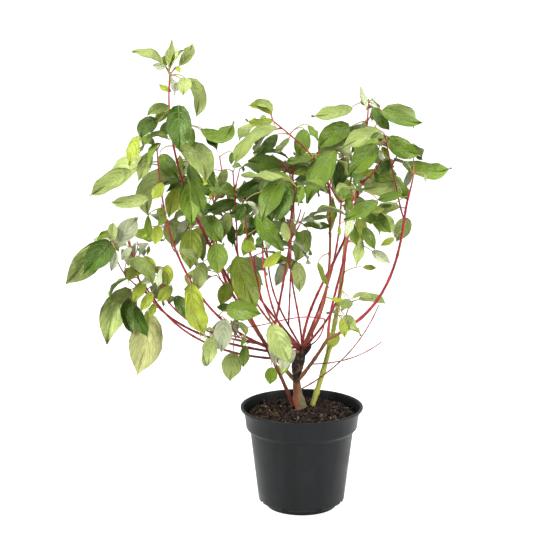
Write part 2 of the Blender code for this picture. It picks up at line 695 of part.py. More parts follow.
def make_soil():
    """The plug of soil: the pot's inside less a gap, with a crumbly top round a flat crown."""
    gap = CLEAR * 1.5
    side = (
        (BASE_RADIUS - POT_WALL - gap, FLOOR_TOP + CLEAR),
        (BASE_RADIUS - 0.0010 - gap, STEP_HEIGHT + POT_WALL + gap),
        (BODY_RADIUS - 0.0034, STEP_HEIGHT + POT_WALL + gap),
        (BODY_RADIUS - POT_WALL - gap, STEP_HEIGHT + 0.0044),
        (BODY_TOP_RADIUS - POT_WALL - gap, COLLAR_BOTTOM - 0.0038),
        (COLLAR_RADIUS - POT_WALL - gap, COLLAR_BOTTOM + 0.0036),
        (COLLAR_RADIUS + 0.0014 - POT_WALL - gap, POT_HEIGHT - 0.0180),
        (COLLAR_RADIUS + 0.0018 - POT_WALL, SOIL_EDGE),
    )
    tops = (0.80, 0.62, 0.42, 0.0)
    points = [Vector((0.0, 0.0, FLOOR_TOP + CLEAR))]
    for radius, height in side:
        for i in range(POT_STEPS):
            a = 2 * math.pi * i / POT_STEPS
            points.append(Vector((radius * math.cos(a), radius * math.sin(a), height)))
    rim = side[-1][0]
    dice = random.Random("soil")
    centre = Vector((*CROWN_CENTRE, 0.0))
    for share in tops[:-1]:
        for i in range(POT_STEPS):
            a = 2 * math.pi * i / POT_STEPS
            place = Vector((math.cos(a), math.sin(a), 0)) * (rim * share)
            place = place + centre * (1 - share)
            away = (place - centre).length
            slope = min(1.0, max(0.0, (away - CROWN_RADIUS) / (rim - CROWN_RADIUS)))
            height = SOIL_CROWN + (SOIL_EDGE - SOIL_CROWN) * slope
            if away > CROWN_RADIUS:
                height += dice.uniform(-SOIL_BUMP, SOIL_BUMP)
            points.append(Vector((place.x, place.y, height)))
    points.append(Vector((centre.x, centre.y, SOIL_CROWN)))
    faces = []
    rows = len(side) + len(tops) - 1
    for i in range(POT_STEPS):
        j = (i + 1) % POT_STEPS
        faces.append((0, 1 + j, 1 + i))
        for r in range(rows - 1):
            a, b = 1 + r * POT_STEPS, 1 + (r + 1) * POT_STEPS
            faces.append((a + i, a + j, b + j, b + i))
        last = 1 + (rows - 1) * POT_STEPS
        faces.append((last + i, last + j, len(points) - 1))
    finish(solid((points, faces)), "soil", (0.030, 0.016, 0.010), 0.95)


def stub_tube(stub, swell=0.0):
    foot, tip, first, last = Vector(stub[0]), Vector(stub[1]), stub[2], stub[3]
    line = curve(foot, tip, (tip - foot).normalized(), Vector((0, 0, 1)))
    stump = dict(path=line, radius=lambda t: first + (last - first) * t)
    return tube(stump, 6, 3, swell=swell, stretch=swell)


def make_trunk(routes):
    """The trunk with its knobbly head and its stubs."""
    trunk = solid(tube(routes["trunk"], TRUNK_SIDES, TRUNK_STEPS))
    combine(trunk, [solid(stub_tube(stub)) for stub in STUBS], "UNION")
    finish(trunk, "trunk", *BARK["old"])
    trunk.data.shade_smooth()


def make_limb(spec, routes, built):
    """One limb, cut back 0.3 mm clear of every limb that its foot grows out of."""
    sides = LIMB_SIDES if spec["radii"][0] > 0.0013 else 4
    obj = solid(tube(routes[spec["name"]], sides, LIMB_STEPS))
    own = tube(routes[spec["name"]], sides, LIMB_STEPS, swell=CLEAR)
    tree = BVHTree.FromPolygons(*own)
    near = [(name, tube(routes[name], *form, swell=CLEAR * 1.3, stretch=CLEAR)) for name, form in built]
    near += [("stub", stub_tube(stub, swell=CLEAR * 1.3)) for stub in STUBS]
    cutters = []
    for name, wide in near:
        if spec["parent"] == name or tree.overlap(BVHTree.FromPolygons(*wide)):
            cutters.append(solid(wide))
    if cutters:
        combine(obj, cutters, "DIFFERENCE")
    finish(obj, spec["name"], *BARK[spec["colour"]])
    obj.data.shade_smooth()
    built.append((spec["name"], (sides, LIMB_STEPS)))


def make_mass(name, parts, tint):
    """One mass: its stem, shoots and leaves joined into one solid."""
    stem = solid(tube(parts["stem"], 3, 6))
    pieces = [solid(tube(shoot, 3, 3)) for shoot in parts["shoots"]]
    pieces += [solid(leaf_mesh(leaf)) for leaf in parts["leaves"]]
    combine(stem, pieces, "UNION")
    finish(stem, name, GREENS[tint % len(GREENS)], 0.55)


def all_routes():
    routes = {"trunk": trunk_route()}
    for spec in LIMBS + BARE_TWIGS:
        routes[spec["name"]] = limb_route(spec, routes)
    return routes


def main():
    for obj in list(bpy.data.objects):
        bpy.data.objects.remove(obj, do_unlink=True)
    routes = all_routes()
    make_pot()
    make_soil()
    make_trunk(routes)
    built = [("trunk", (TRUNK_SIDES, TRUNK_STEPS))]
    for spec in LIMBS + BARE_TWIGS:
        make_limb(spec, routes, built)
    grown = grow_all(routes)
    for tint, (name, parts) in enumerate(grown.items()):
        make_mass(name, parts, tint)
    bpy.context.view_layer.update()


if __name__ == "__main__":
    main()
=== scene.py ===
# Looks of a potted red-barked dogwood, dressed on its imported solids.
import math
import random

import bmesh
import bpy
import numpy as np
from mathutils import Matrix, Vector, noise
from mathutils.bvhtree import BVHTree
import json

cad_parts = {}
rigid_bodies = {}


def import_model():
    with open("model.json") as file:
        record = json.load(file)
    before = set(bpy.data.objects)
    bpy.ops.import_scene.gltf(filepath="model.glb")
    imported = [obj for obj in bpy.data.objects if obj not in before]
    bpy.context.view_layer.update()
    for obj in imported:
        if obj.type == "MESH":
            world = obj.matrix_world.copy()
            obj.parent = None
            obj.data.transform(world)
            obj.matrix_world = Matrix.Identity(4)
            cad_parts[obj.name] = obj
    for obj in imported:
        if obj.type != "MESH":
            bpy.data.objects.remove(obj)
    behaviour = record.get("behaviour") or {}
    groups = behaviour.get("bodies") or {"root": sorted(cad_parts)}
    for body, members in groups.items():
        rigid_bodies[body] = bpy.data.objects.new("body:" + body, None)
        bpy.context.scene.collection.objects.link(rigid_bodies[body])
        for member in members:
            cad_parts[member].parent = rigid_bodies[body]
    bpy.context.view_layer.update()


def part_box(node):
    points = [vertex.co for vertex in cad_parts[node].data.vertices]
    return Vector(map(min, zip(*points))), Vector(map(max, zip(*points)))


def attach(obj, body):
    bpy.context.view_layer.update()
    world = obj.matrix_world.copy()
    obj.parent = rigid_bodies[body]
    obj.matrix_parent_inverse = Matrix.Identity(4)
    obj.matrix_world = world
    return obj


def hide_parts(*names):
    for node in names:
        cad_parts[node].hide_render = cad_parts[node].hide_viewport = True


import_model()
scene = bpy.context.scene
clear = 0.0003  # gap between neighbouring limbs, as in the solids

view = {"place": (-0.039, -2.34, 0.86), "down": 11.95, "lens": 102.07}


def setCamera():
    data = bpy.data.cameras.new("camera")
    data.lens = view["lens"]
    data.sensor_width = 36.0
    data.clip_end = 30.0
    camera = bpy.data.objects.new("camera", data)
    camera.location = view["place"]
    camera.rotation_euler = (math.radians(90.0 - view["down"]), 0.0, 0.0)
    scene.collection.objects.link(camera)
    scene.camera = camera


# Shader maths: a wire is one socket, and a bench makes the nodes of one material
class Wire:
    def __init__(self, bench, socket):
        self.bench, self.socket = bench, socket

    def maths(self, operation, first, second):
        return self.bench.node("ShaderNodeMath", {"operation": operation}, (first, second))

    def __add__(self, other):
        return self.maths("ADD", self, other)

    __radd__ = __add__

    def __mul__(self, other):
        return self.maths("MULTIPLY", self, other)

    __rmul__ = __mul__

    def __sub__(self, other):
        return self.maths("SUBTRACT", self, other)

    def __rsub__(self, other):
        return self.maths("SUBTRACT", other, self)

    def __pow__(self, other):
        return self.maths("POWER", self, other)

    def __lt__(self, other):
        return self.maths("LESS_THAN", self, other)


class Bench:
    def __init__(self, name):
        self.material = bpy.data.materials.new(name)
        self.material.use_nodes = True
        self.tree = self.material.node_tree
        self.shader = self.tree.nodes["Principled BSDF"]

    def put(self, socket, value):
        if isinstance(value, Wire):
            self.tree.links.new(value.socket, socket)
        elif value is not None:
            socket.default_value = value

    def node(self, kind, settings=None, values=(), out=0):
        made = self.tree.nodes.new(kind)
        for key, value in (settings or {}).items():
            if key == "stops":
                ramp = made.color_ramp
                while len(ramp.elements) < len(value):
                    ramp.elements.new(0.5)
                for element, (place, colour) in zip(ramp.elements, value):
                    element.position = place
                    element.color = colour if len(colour) == 4 else (*colour, 1.0)
            else:
                setattr(made, key, value)
        pairs = values.items() if isinstance(values, dict) else enumerate(values)
        for key, value in pairs:
            self.put(made.inputs[key], value)
        return Wire(self, made.outputs[out])

    def mix(self, share, first, second, blend="MIX"):
        settings = {"data_type": "RGBA", "blend_type": blend, "clamp_factor": True}
        first, second = (c if isinstance(c, Wire) else (*c, 1.0) for c in (first, second))
        return self.node("ShaderNodeMix", settings, {0: share, 6: first, 7: second}, out=2)

    def ramp(self, share, stops):
        return self.node("ShaderNodeValToRGB", {"stops": stops}, {0: share})

    def smooth(self, value, low, high):
        settings = {"interpolation_type": "SMOOTHSTEP"}
        return self.node("ShaderNodeMapRange", settings, {0: value, 1: low, 2: high, 3: 0.0, 4: 1.0})

    def place(self, scale=(1, 1, 1)):
        spot = self.node("ShaderNodeTexCoord", out=3)
        return self.node("ShaderNodeMapping", {}, {"Vector": spot, "Scale": scale})

    def noise(self, spot, scale, detail=3.0, rough=0.55, warp=0.0):
        values = {"Vector": spot, "Scale": scale, "Detail": detail, "Roughness": rough, "Distortion": warp}
        return self.node("ShaderNodeTexNoise", {}, values)

    def bump(self, height, depth, strength=1.0):
        values = {"Strength": strength, "Distance": depth, "Height": height}
        return self.node("ShaderNodeBump", {}, values)

    def finish(self, **sockets):
        for name, value in sockets.items():
            title = {"colour": "Base Color", "roughness": "Roughness", "normal": "Normal", "coat": "Coat Weight",
                     "coatRoughness": "Coat Roughness", "sheen": "Sheen Weight", "specular": "Specular IOR Level",
                     "gleam": "Specular Tint"}[name]
            self.put(self.shader.inputs[title], value)
        return self.material


def rgb(red, green, blue):
    # linear colour from the 0 to 255 values of a picture
    parts = (v / 255.0 for v in (red, green, blue))
    return tuple(v / 12.92 if v <= 0.04045 else ((v + 0.055) / 1.055) ** 2.4 for v in parts)


def shade(colour, factor):
    return tuple(min(1.0, v * factor) for v in colour)


# Curves and directions, the same as the solids'
def limb(parent, at, tip, climb, radii, swing=0, bark="red"):
    return {"parent": parent, "at": at, "tip": Vector(tip), "climb": climb, "radii": radii, "swing": swing,
            "bark": bark}


def mass(on, reach, climb, pairs, shoots, leaf, seed, at=1.0, leave=None, first=0.12, droop=75, lone=None):
    return {"on": on, "reach": Vector(reach), "climb": climb, "pairs": pairs, "shoots": shoots, "leaf": leaf,
            "seed": seed, "at": at, "leave": leave, "first": first, "droop": droop, "lone": lone or {}}


limbs = {
    "stem_left": limb("soil", (-0.0125, 0.018), (-0.122, -0.012, 0.382), (70, 62), (0.003, 0.0022)),
    "stem_yellow": limb("soil", (0.0165, 0.022), (0.071, 0.06, 0.47), (66, 88), (0.0043, 0.0024), bark="yellow"),
    "bough_olive": limb("trunk", 0.42, (-0.104, 0.042, 0.322), (44, 54), (0.0034, 0.0022), bark="olive"),
    "bough_right": limb("trunk", 0.42, (0.041, -0.01, 0.272), (52, 60), (0.003, 0.0024), bark="brown"),
    "bough_right_inner": limb("bough_right", 0.97, (0.066, -0.05, 0.431), (86, 78), (0.0021, 0.0015)),
    "bough_right_low": limb("bough_right", 0.97, (0.072, -0.012, 0.289), (20, 36), (0.0026, 0.0025), bark="brown"),
    "bough_right_arc": limb("bough_right_low", 1.0, (0.154, -0.02, 0.466), (34, 84), (0.0025, 0.0017)),
    "bough_right_top": limb("bough_right_arc", 0.95, (0.137, -0.02, 0.518), (70, 76), (0.0013, 0.001)),
    "bough_far_left": limb("trunk", 0.84, (-0.246, 0.0, 0.354), (12, 62), (0.0022, 0.0015), swing=-24),
    "bough_far_left_tip": limb("bough_far_left", 0.93, (-0.277, -0.05, 0.403), (38, 70), (0.0012, 0.0009)),
    "bough_low_left": limb("trunk", 0.79, (-0.222, -0.034, 0.335), (2, 58), (0.002, 0.0014)),
    "bough_mid_left": limb("trunk", 0.96, (-0.204, -0.045, 0.339), (10, 55), (0.0018, 0.0012)),
    "bough_high_left": limb("trunk", 0.9, (-0.174, -0.052, 0.382), (8, 64), (0.0021, 0.0016), swing=-10),
    "bough_centre_left": limb("trunk", 0.93, (-0.1, 0.034, 0.414), (20, 90), (0.0018, 0.0012), swing=56),
    "bough_front_left": limb("trunk", 0.95, (-0.066, -0.05, 0.36), (38, 76), (0.0017, 0.0013)),
    "bough_front": limb("trunk", 0.92, (-0.06, -0.09, 0.446), (30, 90), (0.0018, 0.0012)),
    "bough_back_left": limb("trunk", 0.96, (-0.051, 0.06, 0.364), (48, 82), (0.0017, 0.0012)),
    "bough_centre": limb("bough_olive", 0.42, (-0.017, 0.004, 0.422), (72, 78), (0.002, 0.0016)),
    "bough_front_centre": limb("trunk", 0.98, (-0.021, -0.1, 0.44), (70, 84), (0.0017, 0.0011)),
    "bough_back_centre": limb("bough_back_left", 0.3, (-0.016, 0.11, 0.386), (50, 88), (0.0014, 0.0011)),
    "bough_amber": limb("trunk", 0.99, (0.042, 0.0, 0.483), (54, 90), (0.0024, 0.0016), bark="amber"),
    "bough_crimson": limb("trunk", 0.97, (0.084, 0.02, 0.484), (86, 82), (0.0022, 0.0016)),
    "bough_back": limb("trunk", 0.94, (-0.11, 0.13, 0.42), (34, 84), (0.002, 0.0013)),
    "bough_back_right": limb("trunk", 0.93, (0.064, 0.15, 0.44), (34, 84), (0.0022, 0.0014)),
    "bough_front_right": limb("trunk", 0.9, (0.06, -0.11, 0.41), (40, 84), (0.002, 0.0013)),
    "twig_right_high": limb("trunk", 0.28, (0.119, 0.024, 0.314), (26, 68), (0.0012, 0.0008)),
    "twig_right_low": limb("bough_right", 0.42, (0.121, -0.024, 0.268), (4, 40), (0.0011, 0.0008)),
    "twig_loop": limb("trunk", 0.98, (0.034, -0.026, 0.304), (12, 88), (0.0011, 0.001)),
    "twig_loop_far": limb("twig_loop", 1.0, (-0.1, -0.04, 0.294), (16, 2), (0.001, 0.0007)),
}
masses = {
    "leaves_leader": mass("stem_left", (-0.1945, -0.04, 0.678), 96, 7, 1, 0.078, 23, lone={
        (6, 0): (186, 48, 0.052, 5, -50), (6, 1): (5, 98, 0.042, 10, 40),
        (5, 0): (-8, 60, 0.074, 125, 50), (5, 1): (110, 140, 0.052, 10, 0),
        (4, 0): (-75, 20, 0.076, 95, 10), (4, 1): (192, 25, 0.06, 70, -50),
        (3, 0): (-4, 22, 0.08, 30, 45),
    }),
    "leaves_high_left": mass("bough_high_left", (-0.213, -0.07, 0.57), 86, 7, 0, 0.078, 85, first=0.02, lone={
        (6, 0): (192, 60, 0.05, 60, -60), (5, 0): (184, -6, 0.084, 55, -55),
        (5, 1): (-10, 30, 0.062, 50, 50), (4, 0): (186, -6, 0.056, 20, -60),
        (4, 1): (262, -10, 0.068, 90, 0), (0, 0): (300, -60, 0.072, 45, 20),
    }),
    "leaves_far_left": mass("bough_far_left", (-0.266, 0.02, 0.423), 66, 3, 0, 0.068, 12, lone={
        (2, 0): (190, 25, 0.042, 30, -60), (2, 1): (10, 20, 0.048, 50, 50),
    }),
    "leaves_far_tip": mass("bough_far_left_tip", (-0.283, -0.062, 0.43), 60, 2, 0, 0.07, 46, lone={
        (1, 0): (188, -5, 0.08, 75, -50),
    }),
    "leaves_low_left": mass("bough_low_left", (-0.24, -0.036, 0.362), 60, 3, 0, 0.084, 91, lone={
        (0, 0): (196, -20, 0.096, 75, -65), (0, 1): (230, -100, 0.09, 30, -25),
        (1, 0): (190, 5, 0.086, 80, -65),
    }),
    "leaves_mid_left": mass("bough_mid_left", (-0.215, -0.045, 0.378), 80, 2, 0, 0.074, 2, droop=100, lone={
        (0, 0): (-8, 0, 0.056, 60, 45),
    }),
    "leaves_olive": mass("bough_olive", (-0.138, 0.07, 0.48), 84, 5, 1, 0.074, 13, first=0.04),
    "leaves_centre_left": mass("bough_centre_left", (-0.106, 0.045, 0.521), 80, 3, 1, 0.07, 16),
    "leaves_front_left": mass("bough_front_left", (-0.085, -0.066, 0.465), 86, 4, 0, 0.084, 13, first=0.05, droop=100),
    "leaves_front": mass("bough_front", (-0.062, -0.094, 0.51), 86, 3, 0, 0.076, 57),
    "leaves_back_left": mass("bough_back_left", (-0.06, 0.08, 0.45), 84, 3, 0, 0.074, 4, first=0.03),
    "leaves_centre": mass("bough_centre", (-0.014, -0.004, 0.54), 84, 3, 1, 0.08, 45),
    "leaves_front_centre": mass("bough_front_centre", (-0.01, -0.11, 0.52), 80, 3, 0, 0.072, 107, first=0.04, lone={
        (0, 0): (-20, -45, 0.056, 45, 30),
    }),
    "leaves_back_centre": mass("bough_back_centre", (-0.014, 0.14, 0.51), 80, 4, 1, 0.074, 80),
    "leaves_amber": mass("bough_amber", (-0.046, -0.01, 0.605), 40, 6, 0, 0.078, 99, lone={
        (5, 0): (184, 80, 0.042, 50, -40), (4, 0): (190, -20, 0.084, 80, -50),
    }),
    "leaves_crimson": mass("bough_crimson", (0.101, 0.05, 0.63), 88, 6, 1, 0.076, 21, lone={
        (5, 0): (-40, 0, 0.04, 80, 30), (5, 1): (180, 130, 0.03, 0, -40),
        (4, 0): (181, 14, 0.08, 40, -45), (4, 1): (-3, 30, 0.07, 60, 45),
    }),
    "leaves_right_inner": mass("bough_right_inner", (0.074, -0.064, 0.5), 70, 4, 0, 0.07, 54, lone={
        (0, 0): (-5, 10, 0.06, 60, 45),
    }),
    "leaves_right_arc": mass("bough_right_arc", (0.165, -0.026, 0.526), 82, 2, 0, 0.06, 25, lone={
        (1, 0): (-4, 45, 0.052, 45, 45), (0, 0): (200, -45, 0.044, 30, -20),
        (0, 1): (186, 0, 0.056, 60, -50),
    }),
    "leaves_right_top": mass("bough_right_top", (0.122, -0.03, 0.584), 80, 4, 0, 0.068, 80),
    "leaves_back": mass("bough_back", (-0.13, 0.15, 0.53), 80, 4, 1, 0.074, 110),
    "leaves_back_right": mass("bough_back_right", (0.08, 0.165, 0.55), 80, 4, 1, 0.074, 103),
    "leaves_front_right": mass("bough_front_right", (0.075, -0.13, 0.52), 84, 4, 0, 0.074, 108),
    "leaves_yellow": mass("stem_yellow", (0.08, 0.066, 0.53), 84, 3, 0, 0.062, 23),
    "leaves_yellow_low": mass("stem_yellow", (0.08, 0.004, 0.326), 30, 2, 0, 0.044, 68, at=0.34, leave=(-40, 20), lone={
        (1, 0): (0, 20, 0.044, 40, 40), (1, 1): (182, 10, 0.04, 40, -40),
    }),
    "leaves_hanging": mass("trunk", (-0.13, -0.058, 0.29), 10, 4, 0, 0.054, 9, at=0.8, leave=(215, 20), first=0.45, droop=110),
    "leaves_low_front": mass("trunk", (-0.022, -0.042, 0.256), 10, 2, 0, 0.06, 88, at=0.88, leave=(250, 30), first=0.6, droop=110, lone={
        (1, 0): (195, 50, 0.062, 20, -75),
    }),
}

trunkForm = {
    "foot": (0.0, 0.010), "top": (0.0015, 0.010, 0.253), "lean": 0.0115, "soil": 0.1520,
    "swells": ((0.00, 0.0086), (0.06, 0.0090), (0.17, 0.0086), (0.32, 0.0062), (0.44, 0.0056), (0.54, 0.0064),
               (0.66, 0.0088), (0.80, 0.0096), (0.91, 0.0080), (1.00, 0.0050)),
    "stubs": (((0.003, 0.008, 0.242), (0.0115, 0.004, 0.2575), 0.0052, 0.0040),
              ((0.006, 0.012, 0.242), (0.0175, 0.016, 0.2760), 0.0018, 0.0009)),
}
handle = 0.36
sideStem = 0.0012
shootLength = 0.050


def headingOf(vector):
    return math.atan2(vector.y, vector.x)


def aimed(heading, climb):
    return Vector((math.cos(climb) * math.cos(heading), math.cos(climb) * math.sin(heading), math.sin(climb)))


def bend(start, end, leave, arrive):
    reach = (end - start).length * handle
    p = (start, start + leave * reach, end - arrive * reach, end)

    def at(t):
        s = 1.0 - t
        return p[0] * (s * s * s) + p[1] * (3 * s * s * t) + p[2] * (3 * s * t * t) + p[3] * (t * t * t)

    return at


def direction(path, t, step=0.01):
    low, high = max(0.0, t - step), min(1.0, t + step)
    return (path(high) - path(low)).normalized()


def along(values, t):
    for (t0, v0), (t1, v1) in zip(values, values[1:]):
        if t <= t1:
            return v0 + (v1 - v0) * (t - t0) / (t1 - t0)
    return values[-1][1]


def trunkRoute():
    foot = Vector((*trunkForm["foot"], trunkForm["soil"] + clear))
    top = Vector(trunkForm["top"])
    rise = (top.z - foot.z) / 3
    low = Vector((foot.x - trunkForm["lean"], foot.y, foot.z + rise))
    high = Vector((top.x - trunkForm["lean"], top.y, top.z - rise))

    def at(t):
        s = 1.0 - t
        return foot * s**3 + low * (3 * s * s * t) + high * (3 * s * t * t) + top * t**3

    return {"path": at, "radius": lambda t: along(trunkForm["swells"], t), "bark": "old"}


def limbRoute(spec, routes):
    if spec["parent"] == "soil":
        start = Vector((*spec["at"], trunkForm["soil"] + clear))
    else:
        parent = routes[spec["parent"]]
        start = parent["path"](spec["at"])
        if spec["at"] == 1.0:
            start = start + direction(parent["path"], 1.0) * clear
    chord = spec["tip"] - start
    turn = math.radians(spec["swing"]) / 2
    leave, arrive = (math.radians(c) for c in spec["climb"])
    ends = (aimed(headingOf(chord) - turn, leave), aimed(headingOf(chord) + turn, arrive))
    first, last = spec["radii"]
    return {"path": bend(start, spec["tip"], *ends), "radius": lambda t: first + (last - first) * t,
            "bark": spec["bark"]}


def allRoutes():
    routes = {"trunk": trunkRoute()}
    for name, spec in limbs.items():
        routes[name] = limbRoute(spec, routes)
    return routes


# The coarse closed shapes that keep leaves off limbs and off each other
def ringsToMesh(rings, tip=None):
    count = len(rings[0])
    points = [p for ring in rings for p in ring]
    faces = [tuple(reversed(range(count)))]
    for r in range(len(rings) - 1):
        for i in range(count):
            j = (i + 1) % count
            a, b = r * count, (r + 1) * count
            faces.append((a + i, a + j, b + j, b + i))
    last = (len(rings) - 1) * count
    if tip is None:
        faces.append(tuple(range(last, last + count)))
    else:
        points.append(tip)
        faces += [(last + i, last + (i + 1) % count, len(points) - 1) for i in range(count)]
    return points, faces


def tube(route, sides, steps, swell=0.0, start=0.0):
    path, radius = route["path"], route["radius"]
    side = direction(path, start).cross(Vector((0.0, 1.0, 0.0))).normalized()
    rings = []
    for k in range(steps + 1):
        t = start + (1.0 - start) * k / steps
        ahead = direction(path, t)
        side = (side - ahead * side.dot(ahead)).normalized()
        other = ahead.cross(side)
        centre, r = path(t), radius(t) + swell
        turns = [2 * math.pi * i / sides for i in range(sides)]
        rings.append([centre + side * (r * math.cos(a)) + other * (r * math.sin(a)) for a in turns])
    return ringsToMesh(rings)


leafSolid = {"stalkHalf": 0.0007, "stalk": 0.17, "wide": 0.28, "thick": 0.014,
             "stations": ((0.20, 0.86, 1.0), (0.60, 0.90, 0.9))}


def leafMesh(leaf, swell=0.0, bladeOnly=False):
    heading, roll, length = leaf["heading"], leaf["roll"], leaf["length"]
    place = leaf["root"] + aimed(heading, leaf["climb"]) * leaf["stalk"]
    flat = Vector((-math.sin(heading), math.cos(heading), 0.0))

    def ring(centre, climb, half, thick, turn):
        ahead = aimed(heading, climb)
        across = flat * math.cos(turn) + ahead.cross(flat) * math.sin(turn)
        over = ahead.cross(across)
        above = centre + over * (thick * 0.3 + swell)
        return [above + across * half, above - across * half, centre - over * (thick * 0.7 + swell)]

    thin = leafSolid["stalkHalf"] + swell
    rings = []
    if not bladeOnly:
        rings.append(ring(leaf["root"], leaf["climb"], thin, leafSolid["stalkHalf"] * 2, 0.0))
    startClimb = leaf["climb"] * 0.6
    rings.append(ring(place, startClimb, thin, leafSolid["stalkHalf"] * 2, roll * 0.3))
    before, centre = 0.0, place
    for at, wide, thick in leafSolid["stations"] + ((1.0, 0.0, 0.0),):
        step = (at - before) / 2
        for _ in range(2):
            before += step
            bent = startClimb - leaf["droop"] * (before - step / 2)
            centre = centre + aimed(heading, bent) * (length * step)
        if wide:
            half = length * leafSolid["wide"] * leaf["wide"] * wide + swell
            rings.append(ring(centre, startClimb - leaf["droop"] * at, half, length * leafSolid["thick"] * thick, roll))
    return ringsToMesh(rings, tip=centre)


# Growth, by the solids' rule and dice
crownAxis = Vector((-0.02, 0.0, 0.0))
turnedIn = 0.2
nodeCrowding = 1.3


def spreadDirection(path, t, turn, openAngle):
    ahead = direction(path, t)
    side = ahead.cross(Vector((0.0, 1.0, 0.0))).normalized()
    other = ahead.cross(side)
    outward = side * math.cos(turn) + other * math.sin(turn)
    return (ahead * math.cos(openAngle) + outward * math.sin(openAngle)).normalized()


def newLeaf(dice, spec, path, t, turn, size, upright=False):
    openness = dice.uniform(48, 72) - (22 if upright else 0)
    out = spreadDirection(path, t, turn, math.radians(openness))
    length = spec["leaf"] * size * dice.uniform(0.80, 1.12)
    root = path(t)
    heading = headingOf(out) + math.radians(dice.uniform(-14, 14))
    outward = root - crownAxis
    facesOut = outward.x * math.sin(heading) - outward.y * math.cos(heading) > 0
    if dice.random() < turnedIn:
        facesOut = not facesOut
    return {
        "root": root, "heading": heading,
        "climb": math.asin(max(-0.7, min(0.95, out.z))) * dice.uniform(0.7, 1.0),
        "length": length, "stalk": length * leafSolid["stalk"] * dice.uniform(0.8, 1.3),
        "wide": dice.uniform(0.88, 1.08),
        "droop": math.radians(spec["droop"] * dice.uniform(0.6, 1.35) * (0.7 if upright else 1.0)),
        "roll": math.radians(dice.uniform(5, 60) * (1 if facesOut else -1)),
    }


def setByHand(leaf, values):
    heading, climb, length, droop, roll = values
    leaf.update(heading=math.radians(heading), climb=math.radians(climb), length=length,
                droop=math.radians(droop), roll=math.radians(roll), stalk=length * leafSolid["stalk"])
    return leaf


def stemOf(spec, routes):
    bearer = routes[spec["on"]]
    ahead = direction(bearer["path"], spec["at"])
    start = bearer["path"](spec["at"]) + ahead * clear
    thick = bearer["radius"](spec["at"]) * 0.92
    if spec["leave"]:
        ahead = aimed(*(math.radians(angle) for angle in spec["leave"]))
        start = bearer["path"](spec["at"]) + ahead * (bearer["radius"](spec["at"]) * 1.02 + clear)
        thick = sideStem
    arrive = aimed(headingOf(spec["reach"] - start), math.radians(spec["climb"]))
    return {"path": bend(start, spec["reach"], ahead, arrive), "radius": lambda t: thick + (0.0008 - thick) * t,
            "bark": bearer["bark"]}


def grow(name, spec, stem):
    shoots, leaves = [], []
    mark = f"{name} {spec['seed']}"
    base = random.Random(mark).uniform(0, math.pi)
    for k in range(spec["pairs"]):
        left = (spec["pairs"] - 1 - k) / max(1, spec["pairs"] - 1)
        t = 1.0 - (1.0 - spec["first"]) * left**nodeCrowding
        tip = k == spec["pairs"] - 1
        size = 0.75 if tip else 1.0
        for half in (0, 1):
            dice = random.Random(f"{mark} {k} {half}")
            turn = base + k * math.pi / 2 + half * math.pi + math.radians(dice.uniform(-16, 16))
            if k >= spec["shoots"]:
                leaf = newLeaf(dice, spec, stem["path"], min(t, 0.985), turn, size, upright=tip)
                if (k, half) in spec["lone"]:
                    leaf = setByHand(leaf, spec["lone"][k, half])
                leaf["spray"] = (k, half)
                leaves.append(leaf)
                continue
            out = spreadDirection(stem["path"], t, turn, math.radians(dice.uniform(38, 58)))
            start = stem["path"](t)
            reach = shootLength * dice.uniform(0.8, 1.2)
            end = start + (out + Vector((0, 0, 0.35))).normalized() * reach
            path = bend(start, end, out, (end - start + Vector((0, 0, reach * 0.5))).normalized())
            shoot = {"path": path, "radius": lambda s: 0.0011 - 0.0004 * s, "bark": stem["bark"]}
            inner = dice.uniform(0, math.pi)
            crop = []
            for other in (0, 1):
                more = random.Random(f"{mark} {k} {half} {other}")
                crop.append(newLeaf(more, spec, path, 0.97, inner + other * math.pi, 0.9))
                crop[-1]["spray"] = (k, half + 2)
            shoots.append((shoot, crop))
    return shoots, leaves


def boxOf(points):
    low = Vector([min(p[i] for p in points) for i in range(3)])
    high = Vector([max(p[i] for p in points) for i in range(3)])
    return low, high


class Room:
    def __init__(self):
        self.taken = []

    def add(self, owner, mesh):
        self.taken.append((owner, *boxOf(mesh[0]), BVHTree.FromPolygons(*mesh)))

    def free(self, mesh, skip=(), only=None):
        low, high = boxOf(mesh[0])
        tree = None
        for owner, otherLow, otherHigh, other in self.taken:
            if owner in skip or (only is not None and owner != only):
                continue
            if any(low[i] > otherHigh[i] or high[i] < otherLow[i] for i in range(3)):
                continue
            tree = tree or BVHTree.FromPolygons(*mesh)
            if tree.overlap(other):
                return False
        return True


tries = ((0, 1.0), (18, 1.0), (-18, 1.0), (36, 0.95), (-36, 0.95), (60, 0.9), (-60, 0.85), (90, 0.8))
shy = 0.0004


def settledLeaf(leaf, owner, room, sight, box=None):
    for turn, size in tries:
        tried = dict(leaf)
        tried["heading"] = leaf["heading"] + math.radians(turn)
        tried["length"] = leaf["length"] * size
        mesh = leafMesh(tried)
        if (box and not within(mesh, box, sprigs["share"])) or sight.hides(mesh):
            continue
        if room.free(leafMesh(tried, swell=shy), skip=(owner,)) and room.free(
            leafMesh(tried, swell=shy, bladeOnly=True), only=owner
        ):
            room.add(owner, mesh)
            return tried
    return None


def growTwigs(routes, room):
    for route in routes.values():
        room.add("limbs", tube(route, 5, 7, swell=0.0003))
    grown = {}
    for name, spec in masses.items():
        grown[name] = {"stem": stemOf(spec, routes), "shoots": [], "leaves": []}
        room.add(name, tube(grown[name]["stem"], 3, 6))
    for name, spec in masses.items():
        parts = grown[name]
        shoots, parts["wanted"] = grow(name, spec, parts["stem"])
        for shoot, crop in shoots:
            if room.free(tube(shoot, 3, 3, swell=shy), skip=(name,)):
                room.add(name, tube(shoot, 3, 3, start=0.15))
                parts["shoots"].append(shoot)
                parts["wanted"] += crop
    return grown


